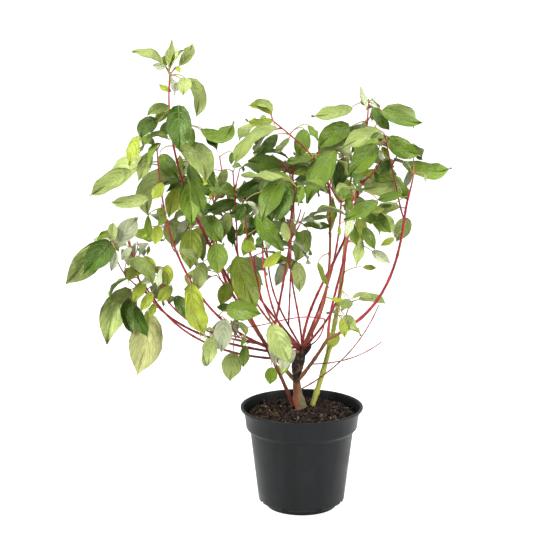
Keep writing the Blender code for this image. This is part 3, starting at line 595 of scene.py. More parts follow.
def growLeaves(grown, room, sight):
    for name, parts in grown.items():
        settled = [settledLeaf(leaf, name, room, sight) for leaf in parts.pop("wanted")]
        parts["leaves"] = [leaf for leaf in settled if leaf]




# Finer sprigs than the solids have, grown on in the space that each mass keeps to
sprigs = {"leaf": (0.50, 0.86), "reach": (0.012, 0.044), "share": 0.004}
sprigCounts = {
    "leaves_leader": (5, 1), "leaves_high_left": (5, 1), "leaves_far_left": (2, 1), "leaves_far_tip": (1, 1),
    "leaves_low_left": (3, 1), "leaves_mid_left": (2, 1), "leaves_olive": (5, 1), "leaves_centre_left": (3, 1),
    "leaves_front_left": (5, 1), "leaves_front": (4, 1), "leaves_back_left": (3, 1), "leaves_centre": (5, 1),
    "leaves_front_centre": (3, 1), "leaves_back_centre": (4, 1), "leaves_amber": (5, 1),
    "leaves_crimson": (5, 1), "leaves_right_inner": (4, 1), "leaves_right_arc": (2, 1),
    "leaves_right_top": (4, 1), "leaves_back": (4, 1), "leaves_back_right": (4, 1),
    "leaves_front_right": (3, 1), "leaves_yellow": (3, 1), "leaves_yellow_low": (1, 1),
    "leaves_hanging": (2, 1), "leaves_low_front": (1, 1),
}


def within(mesh, box, spare):
    low, high = boxOf(mesh[0])
    return all(low[i] > box[0][i] - spare and high[i] < box[1][i] + spare for i in range(3))


def growSprigs(name, spec, parts, room, sight, box, count, seed):
    twigs, leaves = [], []
    bearers = [parts["stem"]] * 3 + parts["shoots"]
    for k in range(count):
        dice = random.Random(f"sprig {name} {seed} {k}")
        bearer = dice.choice(bearers)
        t, turn = dice.uniform(0.08, 0.94), dice.uniform(0, 2 * math.pi)
        out = spreadDirection(bearer["path"], t, turn, math.radians(dice.uniform(38, 70)))
        start, reach = bearer["path"](t), dice.uniform(*sprigs["reach"])
        end = start + (out + Vector((0, 0, 0.3))).normalized() * reach
        path = bend(start, end, out, (end - start + Vector((0, 0, reach * 0.4))).normalized())
        twig = {"path": path, "radius": lambda s: 0.0009 - 0.0003 * s, "bark": bearer["bark"]}
        mesh = tube(twig, 3, 3, swell=shy)
        if sight.hides(mesh) or not room.free(mesh, skip=(name,)):
            continue
        room.add(name, tube(twig, 3, 3, start=0.2))
        inner, crop = dice.uniform(0, math.pi), []
        for pair, place in enumerate((0.97, 0.5) if reach > 0.032 else (0.97,)):
            for side in (0, 1):
                more = random.Random(f"sprig {name} {seed} {k} {pair} {side}")
                size = more.uniform(*sprigs["leaf"])
                leaf = newLeaf(more, spec, path, place, inner + side * math.pi + pair * math.pi / 2, size)
                leaf["spray"] = ("sprig", k)
                leaf = settledLeaf(leaf, name, room, sight, box)
                if leaf:
                    crop.append(leaf)
        if crop:
            twigs.append(twig)
            leaves += crop
    return twigs, leaves


# The fine leaf
leafForm = {
    "veins": 6, "sweep": 0.54, "lean": 0.32, "relief": 0.015, "gleam": (0.90, 1.0, 0.60, 1.0), "thick": 0.0045, "slim": 0.90,
    "outline": ((0.0, 0.80), (0.20, 0.93), (0.34, 0.99), (0.45, 1.0), (0.56, 0.95), (0.66, 0.85), (0.75, 0.69),
                (0.83, 0.48), (0.89, 0.28), (0.94, 0.12), (0.97, 0.05), (1.0, 0.0)),
}


# Leaves that the photograph shows plainly. Base, tip and width are in its pixels, and each hangs by its stalk
# from the twig that is nearest to its base there. Those in front come first.
def shown(base, tip, width, tint, via=None, under=False, deep=0.0):
    return {"base": base, "tip": tip, "width": width, "tint": tint, "via": via, "under": under, "deep": deep}


shownLeaves = [
    # top of the leading stem
    shown((183, 80), (196, 117), 13, "sage", via=(200, 93)), shown((179, 66), (192, 43), 11, "sage", via=(187, 56)),
    shown((169, 66), (172, 40), 8, "sage", via=(168, 54)), shown((166, 67), (152, 65), 8, "pale"),
    shown((163, 64), (132, 52), 9, "sage", via=(149, 53)), shown((166, 66), (164, 55), 7, "olive"),
    shown((185, 78), (183, 96), 14, "light"), shown((171, 92), (159, 84), 6, "lime"),
    shown((177, 67), (180, 73), 5, "lime"), shown((179, 105), (180, 152), 26, "dark", deep=-0.008),
    shown((170, 108), (147, 116), 11, "sage", via=(156, 109)), shown((167, 108), (155, 124), 11, "olive"),
    shown((158, 121), (141, 139), 16, "dark", via=(145, 127)), shown((168, 122), (162, 138), 11, "dark"),
    shown((192, 128), (190, 148), 8, "mid"), shown((200, 129), (234, 121), 12, "mid", via=(220, 137)),
    shown((204, 130), (218, 152), 9, "dark", via=(213, 140)), shown((169, 140), (140, 153), 5, "mid", via=(152, 134)),
    shown((137, 136), (129, 166), 13, "lime", via=(132, 149)), shown((161, 143), (150, 168), 6, "mid", via=(152, 150)),
    shown((180, 151), (206, 182), 22, "sage", via=(199, 157)), shown((150, 152), (138, 182), 14, "sage"),
    shown((160, 155), (178, 178), 17, "green"), shown((180, 155), (185, 175), 5, "lime"),
    # high left
    shown((131, 170), (89, 196), 20, "sage", via=(108, 182)), shown((163, 183), (152, 200), 12, "lime"), shown((178, 177), (149, 219), 16, "light", via=(148, 184)),
    shown((149, 198), (110, 202), 14, "light"), shown((178, 179), (154, 185), 7, "green"), shown((188, 176), (166, 192), 11, "green", deep=0.02),
    shown((190, 163), (204, 212), 15, "green"), shown((203, 162), (215, 188), 13, "dark", deep=0.01),
    shown((190, 180), (192, 226), 22, "mid"), shown((182, 188), (169, 218), 17, "lime", via=(173, 202)),
    shown((164, 209), (156, 214), 8, "olive"), shown((187, 220), (177, 234), 9, "pale"),
    shown((148, 216), (149, 240), 8, "mid"), shown((166, 215), (158, 226), 8, "mid"),
    shown((158, 225), (155, 245), 13, "lime"), shown((168, 220), (172, 246), 13, "sage"),
    shown((150, 228), (141, 238), 6, "lime"), shown((191, 229), (190, 270), 24, "olive"),
    shown((226, 169), (219, 188), 10, "sage"), shown((238, 199), (206, 186), 13, "green", via=(222, 187)),
    shown((236, 201), (206, 211), 14, "dark"), shown((207, 216), (222, 244), 19, "green", deep=-0.012),
    shown((202, 234), (203, 262), 10, "sage"), shown((216, 243), (218, 275), 22, "mid", deep=-0.03),
    shown((168, 265), (167, 287), 12, "lime"), shown((161, 268), (157, 289), 6, "pale"),
    shown((172, 286), (157, 302), 13, "lime", via=(163, 296)), shown((149, 246), (147, 256), 4, "mid"),
    shown((203, 262), (196, 292), 16, "light"), shown((191, 283), (206, 338), 22, "lime", via=(197, 310)),
    shown((175, 296), (195, 322), 15, "dark"),
    # far left
    shown((110, 241), (83, 274), 26, "dark", via=(97, 258)), shown((105, 241), (65, 285), 28, "sage", via=(83, 265)),
    shown((106, 234), (96, 240), 5, "mid"), shown((113, 241), (113, 222), 10, "light"),
    shown((115, 245), (138, 217), 20, "pale"), shown((128, 222), (139, 217), 5, "light"),
    shown((115, 243), (119, 252), 5, "mid"), shown((131, 247), (121, 261), 8, "pale"),
    shown((126, 262), (153, 286), 14, "sage", via=(145, 266)), shown((116, 252), (111, 272), 9, "pale"),
    shown((136, 305), (148, 338), 12, "dark", via=(141, 320)), shown((130, 298), (133, 334), 14, "dark", via=(127, 314)),
    shown((131, 289), (107, 345), 27, "light", via=(115, 312)), shown((132, 292), (136, 332), 8, "sage"),
    shown((149, 313), (137, 376), 35, "autumn", via=(146, 342)), shown((147, 310), (143, 333), 6, "olive"),
    shown((145, 280), (133, 303), 12, "lime"), shown((155, 303), (149, 318), 8, "lime"),
    shown((155, 275), (141, 284), 9, "pale"), shown((152, 292), (140, 312), 11, "lime"),
    # upper middle
    shown((271, 113), (252, 103), 8, "sage", via=(267, 104)), shown((274, 120), (245, 119), 8, "olive", via=(258, 122)),
    shown((277, 127), (233, 168), 13, "sage", via=(247, 138)), shown((232, 152), (231, 165), 6, "dark"),
    shown((277, 134), (256, 156), 12, "dark"), shown((290, 137), (273, 153), 6, "light"),
    shown((283, 165), (247, 161), 18, "green"), shown((284, 177), (241, 174), 9, "sage"),
    shown((304, 129), (299, 159), 17, "green", deep=0.02), shown((308, 125), (319, 141), 7, "mid"),
    shown((314, 157), (284, 161), 8, "green"), shown((311, 168), (292, 174), 8, "olive"),
    shown((303, 186), (298, 206), 7, "mid"),
    # middle
    shown((284, 179), (262, 222), 22, "green", via=(270, 196)), shown((237, 197), (259, 182), 14, "dark"),
    shown((290, 188), (274, 222), 16, "dark"), shown((256, 214), (284, 251), 20, "green"),
    shown((246, 202), (257, 217), 5, "pale", via=(254, 206)), shown((245, 207), (235, 222), 10, "dark"),
    shown((228, 212), (222, 240), 12, "sage"), shown((240, 218), (257, 226), 13, "dark"),
    shown((254, 207), (229, 214), 13, "dark", deep=0.03), shown((259, 220), (236, 234), 14, "dark", deep=0.03),
    shown((243, 230), (237, 236), 6, "dark"), shown((243, 243), (257, 250), 13, "olive"),
    shown((229, 222), (233, 247), 10, "dark", deep=0.02), shown((252, 236), (243, 257), 12, "mid"),
    shown((258, 237), (262, 248), 8, "dark"), shown((268, 234), (268, 250), 8, "pale"),
    shown((284, 222), (288, 243), 10, "light"), shown((308, 230), (295, 263), 18, "sage"),
    shown((281, 251), (262, 268), 10, "lime"), shown((286, 260), (275, 287), 12, "pale"),
    shown((297, 262), (300, 293), 15, "light"), shown((318, 262), (329, 288), 6, "lime"),
    shown((331, 216), (302, 218), 4, "mid"), shown((331, 227), (301, 223), 8, "green"),
    shown((333, 197), (329, 235), 8, "olive"), shown((339, 226), (340, 236), 4, "lime"),
    shown((226, 310), (262, 314), 21, "mid", via=(243, 310)), shown((236, 256), (256, 312), 30, "olive"),
    shown((230, 284), (220, 306), 16, "olive"), shown((232, 308), (216, 307), 9, "dark"),
    # hanging low
    shown((245, 345), (243, 368), 11, "mid"), shown((234, 353), (230, 382), 22, "light"),
    shown((225, 318), (221, 353), 20, "pale"), shown((212, 338), (208, 366), 14, "light"),
    shown((245, 336), (241, 347), 5, "mid"), shown((271, 324), (290, 363), 24, "light"),
    shown((271, 338), (276, 366), 9, "pale"), shown((272, 367), (270, 385), 14, "mid"),
    # upper right
    shown((352, 107), (311, 116), 14, "sage", via=(334, 111)), shown((367, 108), (361, 86), 6, "pale"),
    shown((373, 107), (390, 131), 13, "dark"), shown((381, 110), (423, 123), 15, "green", via=(402, 117)),
    shown((388, 137), (421, 155), 20, "green", via=(404, 149)),
    shown((381, 130), (341, 149), 16, "sage", via=(360, 136)),
    shown((335, 150), (307, 204), 24, "green", via=(319, 172), deep=-0.010),
    shown((350, 127), (317, 149), 21, "green", via=(334, 133)), shown((379, 133), (370, 138), 5, "dark"),
    shown((377, 145), (347, 178), 21, "green"), shown((346, 157), (335, 190), 16, "dark"),
    shown((390, 161), (380, 175), 11, "dark"), shown((374, 170), (395, 181), 6, "green", via=(380, 179)),
    shown((402, 163), (452, 168), 17, "mid", via=(430, 170)), shown((425, 174), (426, 183), 3, "pale"),
    shown((412, 168), (404, 190), 7, "pale"), shown((416, 156), (423, 160), 4, "dark"),
    shown((379, 150), (383, 161), 6, "pale"), shown((382, 147), (390, 158), 7, "lime"),
    # right
    shown((402, 185), (360, 190), 18, "light", via=(382, 186), deep=-0.008), shown((402, 193), (376, 200), 10, "green"),
    shown((346, 187), (343, 201), 12, "green"), shown((351, 216), (346, 238), 9, "pale"),
    shown((378, 201), (343, 220), 15, "green"), shown((392, 205), (380, 206), 4, "dark"),
    shown((383, 210), (367, 210), 8, "lime"), shown((372, 214), (391, 233), 16, "green"),
    shown((408, 218), (396, 242), 17, "sage"), shown((364, 227), (375, 250), 12, "green"),
    shown((360, 215), (381, 222), 11, "green"), shown((352, 228), (357, 246), 10, "mid"), shown((361, 238), (356, 267), 11, "light"),
    shown((394, 238), (380, 246), 7, "lime"), shown((372, 251), (391, 264), 11, "pale"),
    shown((363, 267), (377, 268), 6, "olive"),
    # low on the yellow stem
    shown((345, 300), (326, 297), 4, "lime"), shown((352, 299), (373, 300), 5, "light", via=(362, 294)),
    shown((342, 318), (345, 338), 10, "lime"), shown((345, 316), (357, 330), 12, "light"),
]
shownStems = (  # stretches of stem that nothing hides in the photograph, in its pixels
    ((172, 76), (172, 92)), ((171, 230), (190, 278)), ((263, 255), (263, 300)), ((273, 121), (307, 155)),
    ((330, 240), (329, 270)), ((388, 142), (397, 185)), ((413, 180), (407, 205)), ((402, 242), (394, 270)),
    ((177, 160), (183, 186)), ((288, 258), (281, 292)), ((238, 206), (238, 240)),
)
skyGaps = (  # x, y and radius of the gaps where the photograph shows sky or bare stems, in its pixels
    (155, 250, 6), (165, 258, 7), (178, 265, 7), (182, 278, 8), (181, 290, 5), (312, 206, 9), (303, 210, 5),
    (323, 252, 7), (320, 238, 7), (285, 118, 9), (300, 116, 8), (380, 88, 10), (369, 82, 5), (404, 130, 4),
    (413, 135, 5), (421, 130, 5), (398, 170, 5), (195, 139, 5), (216, 155, 5), (224, 163, 4), (242, 160, 5),
    (243, 180, 5), (232, 180, 4), (362, 114, 4), (300, 368, 9), (298, 384, 9), (282, 384, 7), (222, 112, 12),
    (340, 240, 6), (340, 255, 6), (318, 275, 5), (355, 280, 9), (290, 300, 6), (318, 300, 6), (270, 290, 4),
    (158, 330, 4), (185, 345, 8), (212, 290, 4), (110, 262, 5), (145, 200, 5), (128, 188, 5), (160, 90, 6),
    (190, 60, 3), (200, 112, 4), (155, 360, 6), (375, 285, 8), (392, 300, 6), (335, 300, 5), (153, 204, 4),
    (235, 242, 4), (245, 254, 4), (228, 185, 4), (287, 150, 6), (313, 145, 3), (288, 219, 4), (358, 116, 4),
    (383, 131, 3), (376, 239, 4), (390, 222, 4), (368, 258, 4), (365, 197, 3), (207, 82, 7), (108, 280, 9),
    (118, 275, 5), (80, 240, 6), (92, 233, 5), (256, 355, 6), (137, 111, 4), (345, 95, 6), (334, 100, 4), (412, 222, 5),
    (380, 98, 4), (211, 321, 4), (196, 345, 4), (200, 118, 5), (335, 122, 3), (412, 205, 4),
)

shownForm = {
    "folds": (6, 32),
    "longer": 1.06,  # least length over what is seen of it
    "ratio": (0.92, 1.22),  # how narrow and wide a blade may be, as a share of the usual
    "raised": 0.08, "hump": 0.0, "arch": 0.14, "berth": 0.0016, "reach": 9.0, "behind": 60.0, "bare": 0.55,
    "tries": (-0.005, -0.010, -0.015, -0.021, 0.003, -0.028, 0.008, 0.013, 0.019, -0.036, 0.026, 0.034, 0.044),
}
frameWidth = 553
focal = view["lens"] / 36.0 * frameWidth
eye = Vector(view["place"])
viewTurn = Matrix.Rotation(math.radians(90.0 - view["down"]), 3, "X")


def pixelOf(point):
    across, up, back = viewTurn.transposed() @ (point - eye)
    return (frameWidth / 2 - focal * across / back, frameWidth / 2 + focal * up / back), -back


def spotAt(pixel, depth):
    across, up = (pixel[0] - frameWidth / 2) * depth / focal, (frameWidth / 2 - pixel[1]) * depth / focal
    return eye + viewTurn @ Vector((across, up, -depth))


def onCurve(ends, control, t):
    return ends[0] * (1 - t) ** 2 + control * 2 * t * (1 - t) + ends[1] * t * t


stemForm = {"nodeGap": 0.034, "nodeSwell": 0.24, "nodeLength": 0.0035, "shoots": 1.22, "sides": 12, "stepLength": 0.0028}


def lengthOf(path):
    points = [path(k / 24) for k in range(25)]
    return sum((b - a).length for a, b in zip(points, points[1:]))


def nodesOn(name, path):
    # where a twig has its pairs of leaves, as shares of its length
    total, dice = lengthOf(path), random.Random("nodes " + name)
    nodes, place = [], stemForm["nodeGap"] * dice.uniform(0.3, 0.9)
    while place < total:
        nodes.append(place / total)
        place += stemForm["nodeGap"] * dice.uniform(0.7, 1.3)
    return nodes


def shownBlade(spec, depth, steps=48):
    # the midrib runs through its pixels, and what it can't show of its length comes forward
    scale = depth / focal
    usual = 2 * leafSolid["wide"] * leafForm["slim"]
    fold = math.radians(spec["fold"])
    flatLength = math.dist(spec["base"], spec["tip"]) * scale
    wide = spec["width"] * scale / math.cos(fold)
    least, most = shownForm["ratio"]
    length = max(flatLength * shownForm["longer"], wide / (usual * most))
    ratio = min(most, max(least, wide / (usual * length)))
    roll = math.acos(min(1.0, wide / (usual * length * ratio)))
    base, tip = Vector(spec["base"]), Vector(spec["tip"])
    way = (tip - base).normalized()
    roll = -roll if way.x > 0 else roll
    lean = math.sqrt(length**2 - flatLength**2) * (1 if tip.y > base.y - 4 else -1) * (-1 if spec["under"] else 1)
    middle = Vector(spec["via"]) if spec["via"] else (base + tip) / 2 - Vector((0, shownForm["hump"])) * (tip - base).length
    # the half that is turned to the eye shows more, so the midrib gives way to it
    give = usual * length * ratio / 2 / scale * math.sin(roll) * math.sin(fold) * (-1 if spec["under"] else 1)
    middle = middle + Vector((way.y, -way.x)) * give
    control = middle * 2 - (base + tip) / 2
    depths = (depth, depth - lean), depth - lean * 0.5 - length * shownForm["arch"]
    rib = np.array([spotAt(onCurve((base, tip), control, k / steps), onCurve(*depths, k / steps))
                    for k in range(steps + 1)])
    run = np.concatenate([[0.0], np.cumsum(np.linalg.norm(np.diff(rib, axis=0), axis=1))])
    even = np.linspace(0.0, run[-1], steps + 1)
    rib = np.stack([np.interp(even, run, rib[:, i]) for i in range(3)], 1)
    ahead = np.gradient(rib, axis=0)
    ahead /= np.linalg.norm(ahead, axis=1)[:, None]
    flat = np.cross(np.array(eye) - rib, ahead)
    flat /= np.linalg.norm(flat, axis=1)[:, None]
    up = np.cross(ahead, flat)
    if spec["under"]:
        flat, up = -flat, -up
    return {"rib": rib, "ahead": ahead, "flat": flat, "up": up, "roll": roll, "length": run[-1], "wide": ratio,
            "tint": spec["tint"], "folds": (spec["fold"], spec["fold"]), "waves": (0.020, 0.060)}


def coarseBlade(blade, swell=0.0):
    steps = len(blade["rib"]) - 1
    turn = blade["roll"]
    rings = []
    for at, wide, thick in ((0.02, 0.10, 1.0),) + leafSolid["stations"]:
        k = round(at * steps)
        across = Vector(blade["flat"][k] * math.cos(turn) + blade["up"][k] * math.sin(turn))
        over = Vector(blade["ahead"][k]).cross(across)
        half = blade["length"] * leafSolid["wide"] * blade["wide"] * wide + swell
        slim = blade["length"] * leafSolid["thick"] * thick
        above = Vector(blade["rib"][k]) + over * (slim * 0.3 + swell + half * shownForm["raised"])
        rings.append([above + across * half, above - across * half, Vector(blade["rib"][k]) - over * (slim * 0.7 + swell)])
    return ringsToMesh(rings, tip=Vector(blade["rib"][-1]))


class Sight:
    # keeps what the photograph shows plainly in sight, and its gaps open
    def __init__(self):
        self.points, self.pixels, self.firm = [], np.zeros((0, 2)), []

    def watch(self, points, firm=False):
        self.points += points
        self.firm += [firm] * len(points)
        self.pixels = np.concatenate([self.pixels, [pixelOf(point)[0] for point in points]])

    def hides(self, mesh, allowed=0, gaps=skyGaps):
        seen = np.array([pixelOf(point)[0] for point in mesh[0]])
        if gaps:
            between = (seen[:, None] + seen[None]).reshape(-1, 2) / 2
            sky = np.array(gaps, float)
            if (np.linalg.norm(between[:, None] - sky[None, :, :2], axis=2) < sky[None, :, 2]).any():
                return True
        low, high = seen.min(0), seen.max(0)
        near = np.nonzero(((self.pixels > low) & (self.pixels < high)).all(1))[0]
        if not len(near):
            return False
        tree, hits = BVHTree.FromPolygons(*mesh), 0
        for k in near:
            toEye = (eye - self.points[k]).normalized()
            if tree.ray_cast(self.points[k] + toEye * 0.0005, toEye)[0] is not None:
                hits += allowed + 1 if self.firm[k] else 1
                if hits > allowed:
                    return True
        return False


def watchSpots(blade):
    steps = len(blade["rib"]) - 1
    spots = []
    for at, sides in ((0.15, (-0.4, 0.4)), (0.35, (-0.8, 0.0, 0.8)), (0.55, (-0.8, 0.0, 0.8)), (0.78, (-0.5, 0.5)), (0.95, (0.0,))):
        k = round(at * steps)
        across = Vector(blade["flat"][k] * math.cos(blade["roll"]) + blade["up"][k] * math.sin(blade["roll"]))
        half = blade["length"] * leafSolid["wide"] * blade["wide"] * 0.9
        spots += [Vector(blade["rib"][k]) + across * (half * side) for side in sides]
    return spots


def placeShown(routes, grown, room, sight):
    bearers, stemSpots = [], []
    for name, parts in grown.items():
        paths = [(name, parts["stem"]["path"])]
        paths += [(f"{name} {k}", shoot["path"]) for k, shoot in enumerate(parts["shoots"])]
        for title, path in paths:
            bearers += [(*pixelOf(path(t)), path, t) for t in [*nodesOn(title, path), 0.985]]
        path = parts["stem"]["path"]
        stemSpots += [(*pixelOf(path(k / 60)), path, k / 60) for k in range(61)]
    for name, route in routes.items():
        if name != "trunk":
            path = route["path"]
            stemSpots += [(*pixelOf(path(k / 90)), path, k / 90) for k in range(91)]
            bearers += [(*pixelOf(path(t)), path, t) for t in nodesOn(name, path) if t > shownForm["bare"]]
    for start, end in shownStems:
        for k in range(7):
            wanted = Vector(start) + (Vector(end) - Vector(start)) * k / 6
            near = [b for b in stemSpots if math.dist(b[0], wanted) < shownForm["reach"]]
            if near:
                _, _, path, t = min(near, key=lambda b: b[1])
                sight.watch([path(t)], firm=True)
            else:
                print("no stem at", tuple(round(v) for v in wanted))
    placed = []
    for number, spec in enumerate(shownLeaves):
        spec = {**spec, "fold": random.Random(f"fold {number}").uniform(*shownForm["folds"])}
        best = sorted(bearers, key=lambda b: abs(math.dist(b[0], spec["base"]) - shownForm["reach"])
                      + b[1] * shownForm["behind"])[:8]
        found = None
        for _, depth, path, t in best:
            for step in shownForm["tries"]:
                blade = shownBlade(spec, depth + step + spec["deep"])
                if sight.hides(coarseBlade(blade), allowed=2, gaps=()):
                    continue
                if not room.free(coarseBlade(blade, swell=shownForm["berth"])):
                    continue
                found = blade
                break
            if found:
                break
        if not found:
            _, depth, path, t = best[0]
            print("no free place for the shown leaf", number, spec["base"], "gap to its twig",
                  round(math.dist(best[0][0], spec["base"])))
            found = shownBlade(spec, depth + 0.05)
        found["bearer"] = (path, t)
        away = math.dist(pixelOf(path(t))[0], spec["base"])
        if away > 22:
            print("far from its twig: shown leaf", number, spec["base"], round(away))
        room.add("shown", coarseBlade(found))
        sight.watch(watchSpots(found))
        placed.append(found)
    return placed
# Fine meshes, gathered as arrays so that thousands of faces join fast
class Heap:
    def __init__(self):
        self.points, self.faces, self.spots, self.slots, self.count = [], [], [], [], 0

    def add(self, points, faces, spots, slot=0):
        # spots holds one UV pair for each corner of each face
        self.points.append(np.asarray(points, float).reshape(-1, 3))
        self.faces += [tuple(i + self.count for i in face) for face in faces]
        self.spots += spots
        self.slots += slot if isinstance(slot, list) else [slot] * len(faces)
        self.count += len(self.points[-1])

    def build(self, name, materials, smooth=True, sharp=None):
        data = bpy.data.meshes.new(name)
        data.from_pydata(np.concatenate(self.points).tolist(), [], self.faces)
        data.polygons.foreach_set("material_index", self.slots)
        data.polygons.foreach_set("use_smooth", [smooth] * len(self.faces))
        sheet = data.uv_layers.new(name="leafWay")
        flat = np.array([value for face in self.spots for spot in face for value in spot], np.float32)
        sheet.data.foreach_set("uv", flat)
        if sharp:
            data.set_sharp_from_angle(angle=math.radians(sharp))
        for material in materials:
            data.materials.append(material)
        piece = bpy.data.objects.new(name, data)
        scene.collection.objects.link(piece)
        return piece


def finePipe(heap, path, radius, sides, steps, relief=None, start=0.0, end=1.0, closeTip=True, slot=0):
    # a round stem on a path, with its own UV: once round across, metres along
    side = direction(path, start).cross(Vector((0.13, 1.0, 0.07))).normalized()
    points, faces, spots = [], [], []
    before, run, runs = path(start), 0.0, []
    for k in range(steps + 1):
        t = start + (end - start) * k / steps
        ahead = direction(path, t)
        side = (side - ahead * side.dot(ahead)).normalized()
        other = ahead.cross(side)
        centre = path(t)
        run += (centre - before).length
        before = centre
        runs.append(run)
        for i in range(sides):
            a = 2 * math.pi * i / sides
            out = side * math.cos(a) + other * math.sin(a)
            r = radius(t)
            if relief:
                r += relief(centre + out * r, t)
            points.append(centre + out * r)
    for k in range(steps):
        for i in range(sides):
            j = (i + 1) % sides
            faces.append((k * sides + i, k * sides + j, (k + 1) * sides + j, (k + 1) * sides + i))
            spots.append(((i / sides, runs[k]), ((i + 1) / sides, runs[k]), ((i + 1) / sides, runs[k + 1]),
                          (i / sides, runs[k + 1])))
    last = len(points)
    foot, tip = path(start), path(end) + direction(path, end) * radius(end) * 0.7
    points += [foot, tip]
    for i in range(sides):
        j = (i + 1) % sides
        faces.append((last, j, i))
        spots.append(((0.5, 0.0), ((i + 1) / sides, 0.0), (i / sides, 0.0)))
        faces.append((last - sides + i, last - sides + j, last + 1))
        spots.append(((i / sides, run), ((i + 1) / sides, run), (0.5, run)))
    heap.add(points, faces, spots, slot)


leafGrids = {  # how finely a leaf is made: shown plainly, or one of the many
    "rich": {"rows": 13, "across": (-1.0, -0.80, -0.56, -0.28, 0.0, 0.28, 0.56, 0.80, 1.0)},
    "plain": {"rows": 8, "across": (-1.0, -0.70, -0.36, 0.0, 0.36, 0.70, 1.0)},
}


def grownBlade(leaf, dice, steps=48):
    # the midrib bent as the solid leaf is, by small steps, with a sway and a hooked tip of its own
    heading, length = leaf["heading"], leaf["length"]
    startClimb, droop = leaf["climb"] * 0.6, leaf["droop"]
    sway, hook = math.radians(dice.uniform(-26, 26)), math.radians(dice.uniform(-30, 100))

    def angles(s):
        return startClimb - droop * s - hook * np.clip(s - 0.72, 0, 1) ** 1.4 * 2.2, heading + sway * (s - 0.25)

    def aims(climb, head):
        return np.stack([np.cos(climb) * np.cos(head), np.cos(climb) * np.sin(head), np.sin(climb)], -1)

    place = np.array(leaf["root"] + aimed(heading, leaf["climb"]) * leaf["stalk"])
    run = aims(*angles((np.arange(steps) + 0.5) / steps)) * length / steps
    rib = np.concatenate([[np.zeros(3)], np.cumsum(run, 0)]) + place
    climb, head = angles(np.arange(steps + 1) / steps)
    ahead = aims(climb, head)
    flat = np.stack([-np.sin(head), np.cos(head), np.zeros_like(head)], -1)
    return {"rib": rib, "ahead": ahead, "flat": flat, "up": np.cross(ahead, flat), "roll": leaf["roll"],
            "length": length, "wide": leaf["wide"], "twist": math.radians(dice.uniform(-34, 34)), "folds": (8, 46),
            "waves": (0.025, 0.095)}


def fineLeaf(heap, blade, dice, grid):
    # rows of the grid run out along the veins, which are pressed in, the strips between them swell
    length, steps = blade["length"], len(blade["rib"]) - 1
    fold = math.radians(dice.uniform(*blade["folds"]))
    wave, phase = dice.uniform(*blade["waves"]), dice.uniform(0, 6.28)
    dish = dice.uniform(-0.22, 0.04)
    rows = grid["rows"]
    v = np.linspace(0.0, 1.0, rows + 1)[:-1] ** 1.06
    u = np.array(grid["across"])
    size = np.abs(u)
    # a vein leaves the rib slanting and curves forward along the margin; the base is rounded off by the first
    arc = leafForm["lean"] * size + (1 - leafForm["lean"]) * (1 - np.cos(size * np.pi / 2))
    reach = leafForm["sweep"] * (1 - v) ** 0.5
    away = np.clip(v[:, None] + reach[:, None] * arc[None, :], 0.0, 0.985)
    knots = np.array(leafForm["outline"])
    margin = np.interp(np.clip(v + reach, 0.0, 0.985), knots[:, 0], knots[:, 1])
    half = margin[:, None] * leafSolid["wide"] * leafForm["slim"] * blade["wide"] * length
    half = half * (1 + dice.uniform(-0.08, 0.08) * np.sign(u)[None, :])
    at = away * steps
    low = np.clip(at.astype(int), 0, steps - 1)
    share = (at - low)[..., None]

    def between(line):
        return line[low] + (line[low + 1] - line[low]) * share

    turn = (blade["roll"] + blade["twist"] * (away - 0.4))[..., None]
    across = between(blade["flat"]) * np.cos(turn) + between(blade["up"]) * np.sin(turn)
    over = np.cross(between(blade["ahead"]), across)
    x = (np.sin(size * np.pi / 2) * np.sign(u))[None, :] * half
    rise = np.abs(x) * math.sin(fold)
    if rows > 2 * leafForm["veins"]:
        swell = np.where(np.arange(rows) % 2 == 0, 1.0, -1.0)[:, None] * leafForm["relief"] * length
        rise = rise + swell * np.sin(np.pi * np.clip(size, 0.0, 0.93) ** 0.8)[None, :] * (1 - v[:, None]) ** 0.5
    pace = dice.uniform(9, 15)
    rise = rise + wave * length * size[None, :] ** 2.2 * np.sin(phase + away * pace + 1.3 * np.sign(u)[None, :])
    rise = rise + dish * np.abs(x) * size[None, :] * 1.6
    top = between(blade["rib"]) + across * (x * math.cos(fold))[..., None] + over * rise[..., None]
    columns = len(u)
    points = [*top.reshape(-1, 3), blade["rib"][-1]]
    inner = {}
    under = over * (leafForm["thick"] * length)
    for r in range(1, rows):
        for q in range(1, columns - 1):
            inner[r, q] = len(points)
            points.append(top[r, q] - under[r, q])

    def upper(r, q):
        return r * columns + q

    def lower(r, q):
        return inner.get((r, q), upper(r, q))

    tipAt = rows * columns
    faces, spots, slots = [], [], []
    for r in range(rows - 1):
        for q in range(columns - 1):
            ways = [((u[b] + 1) / 2, v[a]) for a, b in ((r, q), (r, q + 1), (r + 1, q + 1), (r + 1, q))]
            faces.append((upper(r, q), upper(r, q + 1), upper(r + 1, q + 1), upper(r + 1, q)))
            faces.append((lower(r, q), lower(r + 1, q), lower(r + 1, q + 1), lower(r, q + 1)))
            spots += [tuple(ways), (ways[0], ways[3], ways[2], ways[1])]
            slots += [0, 1]
    for q in range(columns - 1):
        ways = [((u[q] + 1) / 2, v[-1]), ((u[q + 1] + 1) / 2, v[-1]), (0.5, 1.0)]
        faces.append((upper(rows - 1, q), upper(rows - 1, q + 1), tipAt))
        faces.append((lower(rows - 1, q + 1), lower(rows - 1, q), tipAt))
        spots += [tuple(ways), (ways[1], ways[0], ways[2])]
        slots += [0, 1]
    heap.add(points, faces, spots, slots)


